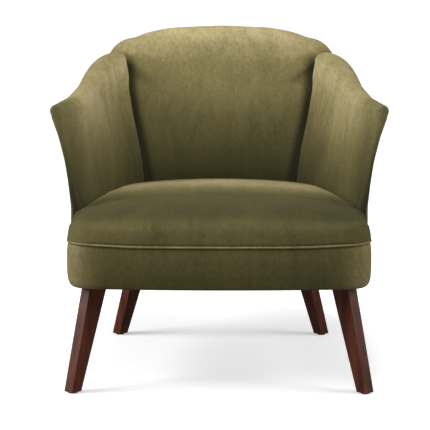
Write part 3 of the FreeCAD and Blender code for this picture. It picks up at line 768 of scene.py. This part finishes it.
def back_plane(share, z):
    """Depth of the plane at a share from the outside, 0, to the inside, 1."""
    inner0 = inside_back_t - inside_rake * seat_line
    inner_at_crest = inner0 + inside_rake * (chair_height - 0.5 * crest_depth)
    outer_at_crest = inner_at_crest + crest_depth
    outer_rake = (outer_at_crest - outside_base_t) / (chair_height - 0.5 * crest_depth - rail_bottom)
    outer0 = outside_base_t - outer_rake * rail_bottom
    return outer0 + share * (inner0 - outer0) + (outer_rake + share * (inside_rake - outer_rake)) * z


def wrap(turn):
    """Inset and share of the half-round edge at a turn from the inside, 0, to the outside, 180 degrees."""
    depth = back_edge if turn < 0.5 * math.pi else back_edge - 4.0
    return depth * (1.0 - math.sin(turn) ** 0.9), 0.5 * (1.0 + math.cos(turn))


def on_back(inset, share, bottom):
    """Half the outline at an inset, on the plane at a share of the back's thickness."""
    line = back_outline(inset, bottom)
    return np.stack([line[:, 0], back_plane(share, line[:, 1]), line[:, 1]], axis=1)


def back_grid(bottom, thin):
    """The panel and its wrapped edges as one grid; thin draws the wrapped edge in towards its middle."""
    sides = seam_side_count + corner_count
    across = 2 * (arch_count + corner_count)
    core = on_back(back_edge, 0.5, bottom)
    rings = []
    for k in range(ring_count + 1):
        spot = on_back(*wrap(math.pi * k / ring_count), bottom)
        rings.append(core + (spot - core) * (1.0 if not thin else min(0.68, 0.25 + 0.2 * k)))
    rings = np.array(rings)
    grid = np.zeros((sides + ring_count + 1, across + 2 * ring_count + 1, 3))
    right, left = rings[0], rings[0] * (-1, 1, 1)
    b = np.linspace(0, 1, sides + 1)[:, None, None]
    a = np.linspace(0, 1, across + 1)[None, :, None]
    over = np.concatenate([left[sides:], right[sides:-1][::-1]])[None]
    chord = (1 - a) * left[sides] + a * right[sides]
    flat = (1 - a) * left[:sides + 1, None] + a * right[:sides + 1, None]
    grid[:sides + 1, ring_count:ring_count + across + 1] = flat + b * (over - chord)
    for k, ring in enumerate(rings):
        mirror = ring * (-1, 1, 1)
        over = np.concatenate([mirror[sides:], ring[sides:-1][::-1]])
        grid[:sides + 1, ring_count + across + k] = ring[:sides + 1]
        grid[:sides + 1, ring_count - k] = mirror[:sides + 1]
        grid[sides + k, ring_count:ring_count + across + 1] = over
        for j in range(k + 1):
            grid[sides + k, ring_count + across + j] = grid[sides + j, ring_count + across + k] = ring[sides]
            grid[sides + k, ring_count - j] = grid[sides + j, ring_count - k] = mirror[sides]
    return grid


def fuller_arch(points):
    """The padded crest stands a few millimetres above the rail's arc, between its middle and its shoulders."""
    x, z = np.abs(points[..., 0]), points[..., 2]
    up = 4.0 * step_up(x, 60.0, 140.0) * (1 - step_up(x, 180.0, 228.0)) * step_up(z, 700.0, 765.0)
    return shifted(points, 2, up)


back_outer, back_inner = [fuller_arch(back_grid(332.0, thin)) for thin in (False, True)]
tucked = 5                          # columns of the half round that the cover still has below the crest
bare = ring_count - tucked
back_cells = np.ones((back_outer.shape[0] - 1, back_outer.shape[1] - 1), bool)
back_cells[:seam_side_count, :bare] = False
back_cells[:seam_side_count, -bare:] = False
print("back grid", back_outer.shape)

# %% [markdown]
# ## The seat's top
# The seat is a deep crowned cushion pulled down to the welt. Its top is a height over the plan: a front profile that
# rises fast and then slowly, times rounded shoulders at the sides. In front of the arms its edge curves down to the
# cord; between the arms and at the back it only tucks in where it meets them.

# %% The seat's plan and its heights
seat_places = (0.0, 2.0, 14.0, 42.0, 100.0, 210.0, 330.0, 450.0, 590.0)
middle_rise = (24.0, 30.0, 50.0, 70.0, 89.0, 101.0, 101.0, 90.0, 66.0)
side_rise = (18.0, 20.0, 30.0, 39.0, 45.0, 52.0, 56.0, 58.0, 56.0)
side_round = 46.0
cover_bottom = welt_height + welt_radius
foam_top = 360.0
seat_end = 546.0
seat_columns, seat_rows = 56, 48
tucked_roll = 8.0


def bow_t(x):
    half = seat_half_width - corner_radius
    radius = (half ** 2 + front_bow ** 2) / (2 * front_bow)
    return radius - np.sqrt(radius ** 2 - np.clip(np.abs(x), 0, half) ** 2)


def front_edge(x):
    """Depth of the seat's front edge, round corners included."""
    past = np.clip(np.abs(x) - (seat_half_width - corner_radius), 0.0, corner_radius)
    return bow_t(x) + corner_radius - np.sqrt(corner_radius ** 2 - past ** 2)


def free_half_width(t):
    share = np.clip((t - seat_corner_t) / (seat_rear_t - seat_corner_t), 0.0, 1.0)
    return seat_half_width - share * (seat_half_width - seat_rear_half_width)


def seat_half(t):
    """Half width of the cover: free in front of the arms, between their inner faces behind."""
    between_arms = side_x(t) - smooth_through(arm_places, arm_thick, t) + 1.0
    tucked_in = step_up(t, 126.0, 138.0)
    return free_half_width(t) * (1 - tucked_in) + between_arms * tucked_in


def seat_height(x, t):
    """Height above the welt, before the edge turns down."""
    x = np.abs(x)
    depth = np.maximum(t - bow_t(x), 0.0)
    side = smooth_through(seat_places, side_rise, depth)
    drop = smooth_through(seat_places, middle_rise, depth) - side
    step = 0.62 * np.minimum(side_round, drop)
    width = free_half_width(t) - 9.0
    u = np.clip((width - x) / side_round, 0.0, 1.0)
    shoulder = step * np.sqrt(1 - (1 - u) ** 2)
    arch = (drop - step) * (1 - np.clip(x / (width - side_round), 0.0, 1.0) ** 2)
    return side + shoulder + arch


def seat_grids():
    edge = np.array(steps_from_edge)
    count = len(edge)
    inside = np.linspace(-1, 1, seat_columns + 1)
    x = np.zeros((count + seat_rows, 2 * count + seat_columns - 1))
    t = np.zeros_like(x)
    for r in range(len(x)):
        step = edge[min(r, count - 1)]
        past = max(r - count + 1, 0)
        t[r] = step + (seat_end - step) * past / seat_rows
        for again in range(4):
            half = seat_half(t[r])
            left = -half[:count] + edge
            right = half[-count:] - edge[::-1]
            core = inside[1:-1] * (half[count:-count] - edge[-1])
            x[r] = np.concatenate([left, core, right])
            front = front_edge(np.clip(x[r], -seat_half_width, seat_half_width))
            t[r] = front + step + (seat_end - front - step) * (past / seat_rows)
    size = np.abs(x)
    free = 1 - step_up(t, 113.0, 124.0)
    gap_x = seat_half(t) - size
    in_corner = (size > seat_half_width - corner_radius) & (t < front_bow + corner_radius)
    round_gap = corner_radius - np.hypot(size - seat_half_width + corner_radius, front_bow + corner_radius - t)
    gap = np.maximum(np.where(in_corner, round_gap, np.minimum(gap_x, t - bow_t(x))), 0.0)
    sideways = step_up(size, 240.0, 335.0)
    share = np.clip(gap / (7.0 + 7.0 * sideways), 0.0, 1.0)
    power = 2.0 - 0.55 * sideways
    rim = (1 - (1 - share) ** power) ** (1 / power)
    height = seat_height(x, t)
    for again in range(10):
        height[1:-1, 1:-1] = 0.5 * height[1:-1, 1:-1] + 0.125 * (height[:-2, 1:-1] + height[2:, 1:-1]
                                                                + height[1:-1, :-2] + height[1:-1, 2:])
    rise = height * rim * free + (height - round_over(gap_x, tucked_roll)) * (1 - free)
    rise -= round_over(seat_end - t, tucked_roll)
    z = np.maximum(welt_height + rise, cover_bottom)
    under = foam_top + 1.0 - (foam_top + 1.0 - cover_bottom) * (1 - step_up(gap, 14.0, 24.0))
    inner = [x * (1 - 10.0 / seat_half_width), t + 9.0 * (1 - t / seat_end), np.minimum(under, z - 3.0)]
    return np.stack([x, t, z], axis=2), np.stack(inner, axis=2)


seat_outer, seat_inner = seat_grids()
print("seat grid", seat_outer.shape, "crown at", round(float(seat_outer[..., 2].max())), "mm")

# %% [markdown]
# ## The front border and the welt
# Under the seat a padded band runs round the front from arm to arm, and a covered cord hides the seam above it. Both
# follow the same line in plan, so both are loops carried along it: the band's loop is full on the outer side and
# turns under at the bottom, the cord's is a circle.

# %% The line round the front
def front_line():
    """Plan points from the left arm round the front to the right arm, and the way out from each."""
    right = [(float(free_half_width(t)), t) for t in np.linspace(125.5, front_bow + corner_radius, 9)]
    turns = np.linspace(0.0, 0.5 * math.pi, 19)[1:]
    middle = seat_half_width - corner_radius
    right += [(middle + corner_radius * math.cos(a), front_bow + corner_radius - corner_radius * math.sin(a))
              for a in turns]
    right += [(x, float(bow_t(x))) for x in np.linspace(middle, 0.0, 46)[1:]]
    line = np.array([(-x, t) for x, t in right[:-1]] + right[::-1])
    soft = line.copy()
    for again in range(12):
        soft[1:-1] = 0.5 * soft[1:-1] + 0.25 * (soft[:-2] + soft[2:])
    run = np.gradient(soft, axis=0)
    out = np.stack([run[:, 1], -run[:, 0]], axis=1)
    out /= np.linalg.norm(out, axis=1, keepdims=True)
    out *= np.sign((out * (soft - (0.0, 200.0))).sum(axis=1))[:, None]
    return soft, out


line, way_out = front_line()
border_profile = ((13.0, 331.0), (8.0, 333.0), (3.6, 332.8), (1.2, 331.0), (-0.3, 328.0), (-1.3, 322.0),
                  (-2.0, 312.0), (-2.4, 300.0), (-2.5, 288.0), (-2.4, 276.0), (-2.0, 265.0), (-1.2, 256.0),
                  (0.4, 249.5), (2.8, 244.0), (6.0, 240.0), (9.5, 238.2), (13.0, 238.0), (13.2, 262.0),
                  (13.2, 285.0), (13.2, 308.0))


def raised_ends(points):
    """The welt climbs a little round the corners, and what touches it climbs with it."""
    x, t, z = points[..., 0], points[..., 1], points[..., 2]
    up = 5.0 * step_up(np.abs(x), 170.0, 341.0) * (1 - step_up(np.abs(z - welt_height), 12.0, 80.0))
    return shifted(points, 2, up * (1 - step_up(t, 130.0, 260.0)))


def along_front(profile):
    """The profile's points, an inset and a height each, carried along the line."""
    return raised_ends(np.array([[(x - out_x * inset, t - out_t * inset, z) for inset, z in profile]
                                 for (x, t), (out_x, out_t) in zip(line, way_out)]))


cord_profile = [(welt_radius * math.cos(u), welt_height + welt_radius * math.sin(u))
                for u in np.linspace(0, 2 * math.pi, 13)[:-1]]
print("the front line has", len(line), "places")

# %% [markdown]
# ## Painted light and shade on the velvet
# The brightness that each place needs was read from the photograph as a share of what a plain cloth would show under
# the same lamps: 1 is plain, 2 is twice as light. These rules only say how it changes with height and depth.

# %% Painted light and shade, piece by piece
darkest, light_span = 0.2, 2.6      # tone 0 stands for the darkest share, tone 1 for one that is lighter by the span
crease_points = arm_outer[-6, :inner_points]


def millimetres_of(piece):
    return points_of(piece.data) * 1000.0 + (0.0, middle_t, 0.0)


def set_tone(piece, rule):
    """Writes painted light and shade, 0 to 1, at every point; the rule takes millimetres."""
    x, t, z = millimetres_of(piece).T
    values = (rule(x, t, z, np.clip(normals_of(piece)[:, 2], 0.0, 1.0)) - darkest) / light_span
    layer = piece.data.attributes.new("tone", "FLOAT", "POINT")
    layer.data.foreach_set("value", np.clip(values, 0.0, 1.0).astype(np.float32))


def over_height(z, *pairs):
    return np.interp(z, [a for a, b in pairs], [b for a, b in pairs])


# Painted light and shade on the arms: lighter higher up, painted shade in the front hollow, near the crease with the
# back and on faces that look up, the right arm a little lighter
def arm_painted_shade(x, t, z, up):
    rise = over_height(z, (380, 0.4), (450, 0.56), (520, 0.85), (600, 1.5), (660, 1.8), (740, 1.85))
    hollow = (1 - step_up(t, 150.0, 260.0)) * (1 - step_up(z, 640.0, 700.0))
    crease = step_up(t, 380.0, 520.0) * (1 - step_up(z, 600.0, 690.0))
    rise = rise * (1.0 + 0.08 * (x > 0.0))
    return rise * (1 - 0.4 * hollow - 0.3 * crease) * (1 - 0.28 * step_up(up, 0.0, 1.0))


# Painted shade on the inside back: darker towards the bottom, with a painted shadow along the creases by the arms
def back_painted_shade(x, t, z, up):
    crease = np.interp(z, crease_points[:, 2], crease_points[:, 0])
    near = 1 - step_up(crease - np.abs(x), 2.0, 32.0)
    rise = over_height(z, (430, 0.34), (450, 0.4), (485, 0.48), (525, 0.58), (565, 0.68), (625, 0.92), (700, 1.0),
                       (760, 1.45), (790, 1.75))
    return rise * (1 - 0.92 * near * (1 - step_up(z, 690.0, 735.0)))


# Painted light and shade on the seat: darker over the front part, a painted highlight band across the rear, darker
# towards the right side
def seat_painted_shade(x, t, z, up):
    depth = t - front_edge(np.minimum(np.abs(x), seat_half_width))
    return over_height(depth, (0, 0.74), (14, 0.64), (36, 0.42), (90, 0.40), (150, 0.44), (200, 0.8), (260, 1.5),
                       (320, 1.8), (400, 1.3), (520, 1.0)) * (1 - 0.2 * step_up(x, 150.0, 300.0))


# Painted light on the border: lighter round its corners and along its turned-under bottom edge
def border_painted_shade(x, t, z, up):
    return (0.62 + 0.65 * step_up(np.abs(x), 250.0, 341.0)) * over_height(z, (238, 1.3), (262, 1.0), (334, 1.0))


# Painted light on the outside panels: lighter higher up
def outside_painted_shade(x, t, z, up):
    return over_height(z, (240, 0.75), (450, 0.95), (640, 1.35), (760, 1.45))


# the five rules paint light and shade into the velvet's colour
print("five rules for the pile")

# %% [markdown]
# ## Covers over their stuffing
# The stuffing lifts the back's cover by 6 mm at most, the seat's by 4 and the arms' by 3, because an arm is firm and
# thin. The outside panels are cloth over flat padding; higher up they lie a little further in, under the arm's roll.

# %% Seat, arms and back
panel_cell = 0.0032     # metres
under_roll = 3.4        # millimetres


def blow(piece, node, painted_shade_rule, cap, pressure=4.0):
    """Lets the stuffing push a pad out, paints its light and shade, then dresses it."""
    report = blown(piece, pressure, cap)
    piece.vertex_groups.clear()
    set_tone(piece, painted_shade_rule)
    dress(piece, node, velvet)
    print(piece.name, len(piece.data.vertices), "points, moved at most and on average",
          [round(1000 * r, 1) for r in report], "mm")


seat_cover = pad_from_grids("seat_cover", raised_ends(seat_outer), raised_ends(seat_inner))
blow(seat_cover, "seat_top", seat_painted_shade, 0.004, pressure=2.0)
for side_name, side in (("left", -1.0), ("right", 1.0)):
    flip = (side, 1.0, 1.0)
    pad = pad_from_grids("arm_inside_" + side_name, arm_outer * flip, arm_inner * flip, arm_cells)
    blow(pad, "inside_arm_pad_" + side_name, arm_painted_shade, 0.003, pressure=1.5)
    panel = soft_piece("outside_arm_panel_" + side_name, "arm_outside_" + side_name, panel_cell, 6)
    back_to_size(panel, "outside_arm_panel_" + side_name)
    points = spread_out(millimetres_of(panel), side)
    move_points(panel, in_frame(shifted(points, 0, -side * under_roll * step_up(points[:, 2], 380.0, 450.0))))
    set_tone(panel, outside_painted_shade)
back_inside = pad_from_grids("back_inside", back_outer, back_inner, back_cells)
blow(back_inside, "inside_back_pad", back_painted_shade, 0.006)
back_outside = soft_piece("outside_back_panel", "back_outside", panel_cell, 6)
back_to_size(back_outside, "outside_back_panel", 0.002)
set_tone(back_outside, outside_painted_shade)

# %% [markdown]
# ## Cover folded over the frame's ends
# Behind, the ends of three timbers on each side come close to the surface where the panels meet. On a real chair the
# cover is folded over them and tacked down. Here a skin is cut from each timber's own mesh between two corners, and
# lifted off the wood by the cloth's thickness.

# %% Six skins over timber ends
cloth_thickness = 0.0016


def wrap_over(node, name, side, low, high):
    """A skin on the part of a timber between two corners, in metres; they are given for the right side."""
    piece = copy_of(node, name)
    shape = bmesh.new()
    shape.from_mesh(piece.data)
    for axis, turn in enumerate((side, 1.0, 1.0)):
        for limit, way in ((low[axis], -turn), (high[axis], turn)):
            spot, normal = Vector((0, 0, 0)), Vector((0, 0, 0))
            spot[axis], normal[axis] = limit * turn, way
            cut = bmesh.ops.bisect_plane(shape, geom=shape.verts[:] + shape.edges[:] + shape.faces[:], plane_co=spot,
                                         plane_no=normal, clear_outer=True, dist=1e-6)["geom_cut"]
            bmesh.ops.holes_fill(shape, edges=[part for part in cut if isinstance(part, bmesh.types.BMEdge)])
    bmesh.ops.recalc_face_normals(shape, faces=shape.faces)
    shape.to_mesh(piece.data)
    shape.free()
    piece.data.update()
    move_points(piece, points_of(piece.data) + cloth_thickness * normals_of(piece))
    piece.data.materials.clear()
    piece.data.materials.append(velvet.material)
    set_tone(piece, outside_painted_shade)
    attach(piece, "root")
    return len(piece.data.polygons)


wrapped = 0
for end, side in (("left", -1.0), ("right", 1.0)):
    wrapped += wrap_over("crest_rail", "crest_end_wrap_" + end, side, (0.235, 0.20, 0.64), (0.30, 0.42, 0.70))
    wrapped += wrap_over("back_post_" + end, "post_foot_wrap_" + end, side, (0.20, 0.27, 0.238), (0.30, 0.42, 0.40))
    wrapped += wrap_over("arm_top_rail_" + end, "rail_end_wrap_" + end, side, (0.20, 0.16, 0.645), (0.33, 0.42, 0.72))
print("the cover is folded over six timber ends,", wrapped, "faces")

# %% [markdown]
# ## Border, foam and cord
# The band's turned-under edge and its inner side are stapled to the rail, so those columns of its grid are held. The
# foam is cut narrower than the solid that it stands for, because the cover's side squeezes it. The cord is drawn
# tight and isn't blown up; its whole length is painted lighter, a painted highlight.

# %% Border, foam and cord
foam_width = 0.965
cord_painted_highlight = 1.25
band = tube("seat_border_pad", along_front(border_profile), [0, 1, 2, 15, 16, 17, 18, 19])
blow(band, "seat_border", border_painted_shade, 0.003)
seat_core = soft_piece("seat_foam", "seat_core", 0.006, 2, finish=foam)
move_points(seat_core, points_of(seat_core.data) * (foam_width, 1.0, 1.0))
cord = tube("seat_cord", along_front(cord_profile), [])
cord.vertex_groups.clear()
# painted highlight: the whole cord is painted lighter than the border beneath it
set_tone(cord, lambda x, t, z, up: np.full_like(z, cord_painted_highlight))
dress(cord, "seat_welt", velvet)
print("cord", len(cord.data.vertices), "points")

# %% [markdown]
# ## Staples under the seat
# The dust cover is stapled to the rails all round its edge. What repeats along a line suits a node tree: it walks
# along the cover's outline in even steps and sets one staple at each, turned a little by a random value with a fixed
# seed, as a hand-held gun leaves them. The result becomes a plain mesh, so nothing is left to evaluate later.

# %% A node tree that sets staples along a line
def staple_tree(material):
    """The tree, and its inputs by name."""
    tree = bpy.data.node_groups.new("staples_along_a_line", "GeometryNodeTree")
    tree.interface.new_socket("Line", in_out="INPUT", socket_type="NodeSocketGeometry")
    inputs = {}
    for name in ("Spacing", "Crown", "Wire", "Turn"):
        inputs[name] = tree.interface.new_socket(name, in_out="INPUT", socket_type="NodeSocketFloat").identifier
    tree.interface.new_socket("Staples", in_out="OUTPUT", socket_type="NodeSocketGeometry")

    def add(kind, settings=None, sockets=None, out=0):
        return add_node(tree, kind, settings, sockets, out)

    given = tree.nodes.new("NodeGroupInput").outputs
    curve = add("GeometryNodeMeshToCurve", None, {"Mesh": given["Line"]})
    steps = add("GeometryNodeResampleCurve", {"mode": "LENGTH"}, {"Curve": curve, "Length": given["Spacing"]})
    along = add("GeometryNodeInputTangent")
    straight = add("FunctionNodeAlignRotationToVector", {"axis": "X"}, {"Vector": along})
    least = add("ShaderNodeMath", {"operation": "MULTIPLY"}, {0: given["Turn"], 1: -1.0})
    chance = add("FunctionNodeRandomValue", {"data_type": "FLOAT"}, {2: least, 3: given["Turn"], "Seed": 7}, out=1)
    twist = add("ShaderNodeCombineXYZ", None, {"Z": chance})
    turned = add("FunctionNodeRotateRotation", {"rotation_space": "LOCAL"}, {"Rotation": straight, "Rotate By": twist})
    size = add("ShaderNodeCombineXYZ", None, {"X": given["Crown"], "Y": given["Wire"], "Z": given["Wire"]})
    bar = add("GeometryNodeMeshCube", None, {"Size": size})
    placed = add("GeometryNodeInstanceOnPoints", None, {"Points": steps, "Instance": bar, "Rotation": turned})
    real = add("GeometryNodeRealizeInstances", None, {"Geometry": placed})
    dressed = add("GeometryNodeSetMaterial", None, {"Geometry": real, "Material": material})
    tree.links.new(dressed, tree.nodes.new("NodeGroupOutput").inputs["Staples"])
    return tree, inputs


cover = [v.co for v in nodes["dust_cover"].data.vertices]
under = min(corner.z for corner in cover)
plan = [corner.xy for corner in cover]
rim = [plan[i] for i in geometry.convex_hull_2d(plan)]
rim = [spot * (1.0 - 0.012 / spot.length) for spot in rim]
outline = bpy.data.meshes.new("staple_line")
outline.from_pydata([(spot.x, spot.y, under - 0.0003) for spot in rim],
                    [(i, (i + 1) % len(rim)) for i in range(len(rim))], [])
staples = new_piece("dust_cover_staples", outline)
tree, inputs = staple_tree(steel.material)
walk = staples.modifiers.new("walk", "NODES")
walk.node_group = tree
for name, value in (("Spacing", 0.034), ("Crown", 0.0115), ("Wire", 0.0012), ("Turn", 0.22)):
    walk[inputs[name]] = value
settle(staples)
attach(staples, "root")
print(len(staples.data.polygons) // 6, "staples hold the dust cover")

# %% [markdown]
# ## Floor and light
# The chair stands on a round white floor whose edge curves up into a wall, so the picture ends in white from every
# side. The paper glows itself, though it is no lamp, and glows less under and round the chair, which paints the
# chair's soft shadow on the floor. Two soft boxes stand at the chair's sides, the left one stronger, a small one hangs
# close over it, and two in front, one high and one low, lift the border and the legs. The crests are bright and the
# cavity between the arms falls into shade, partly under these lamps and partly as painted shade on the velvet.

# %% The floor, the lamps and the sky
def sweep_mesh(reach, height, radius):
    """A round floor whose edge curves up into a wall."""
    profile = [(0.6, 0.0), (reach - radius, 0.0)]
    profile += [(reach - radius + radius * math.sin(a), radius - radius * math.cos(a))
                for a in np.linspace(0, math.pi / 2, 13)[1:]]
    profile += [(reach, height)]
    turns = np.linspace(0, 2 * math.pi, 97)[:-1]
    corners = [(r * math.cos(a), r * math.sin(a), z) for r, z in profile for a in turns]
    rounds = len(turns)
    faces = [(k * rounds + i, k * rounds + (i + 1) % rounds, (k + 1) * rounds + (i + 1) % rounds, (k + 1) * rounds + i)
             for k in range(len(profile) - 1) for i in range(rounds)]
    faces += [tuple(reversed(range(rounds)))]
    mesh = bpy.data.meshes.new("sweep")
    mesh.from_pydata(corners, [], [tuple(reversed(face)) for face in faces])
    return mesh


floor = new_piece("sweep", sweep_mesh(9.0, 9.0, 3.0))
paper = Finish("white_paper", Base_Color=(0.8, 0.8, 0.8, 1.0), Roughness=0.9, Emission_Strength=1.0)
# Painted shadow: the paper glows, though it is no lamp, and its glow is weaker under and round the chair
away = paper.node("ShaderNodeVectorMath", {"operation": "LENGTH"}, {0: paper.place((1.5, 0.72, 1.0))}, out=1)
paper_glow_with_painted_shadow = paper.node("ShaderNodeMapRange", {"interpolation_type": "SMOOTHSTEP"},
                  {"Value": away, "From Min": 0.5, "From Max": 0.95, "To Min": 0.43, "To Max": 1.05})
paper.feed(Emission_Color=paper_glow_with_painted_shadow)
floor.data.materials.append(paper.material)
for polygon in floor.data.polygons:
    polygon.use_smooth = True
floor.visible_diffuse = False
floor.visible_glossy = False


def lamp(name, place, aim, width, depth, power):
    light = bpy.data.lights.new(name, "AREA")
    light.shape = "RECTANGLE"
    light.size = width
    light.size_y = depth
    light.energy = power
    made = bpy.data.objects.new(name, light)
    made.location = place
    made.rotation_euler = (Vector(aim) - Vector(place)).to_track_quat("-Z", "Y").to_euler()
    bpy.context.scene.collection.objects.link(made)


lamp("left_box", (-2.2, -0.6, 1.5), (0.0, 0.0, 0.5), 1.4, 1.6, 72.0)
lamp("right_box", (2.2, -0.6, 1.5), (0.0, 0.0, 0.5), 1.4, 1.6, 40.0)
lamp("near_box", (0.0, -0.1, 1.55), (0.0, 0.1, 0.5), 0.9, 0.7, 11.5)
lamp("front_box", (0.0, -1.5, 2.3), (0.0, 0.0, 0.55), 2.2, 1.2, 10.0)
lamp("low_box", (0.0, -2.0, 0.42), (0.0, 0.0, 0.22), 1.8, 0.5, 12.0)
sky = bpy.data.worlds.new("sky")
sky.use_nodes = True
shine = sky.node_tree.nodes["Background"].inputs
shine["Color"].default_value = (1.0, 1.0, 1.0, 1.0)
shine["Strength"].default_value = 0.1
bpy.context.scene.world = sky
bpy.context.scene.view_settings.view_transform = "Standard"
print("floor, lamps and sky are in place")
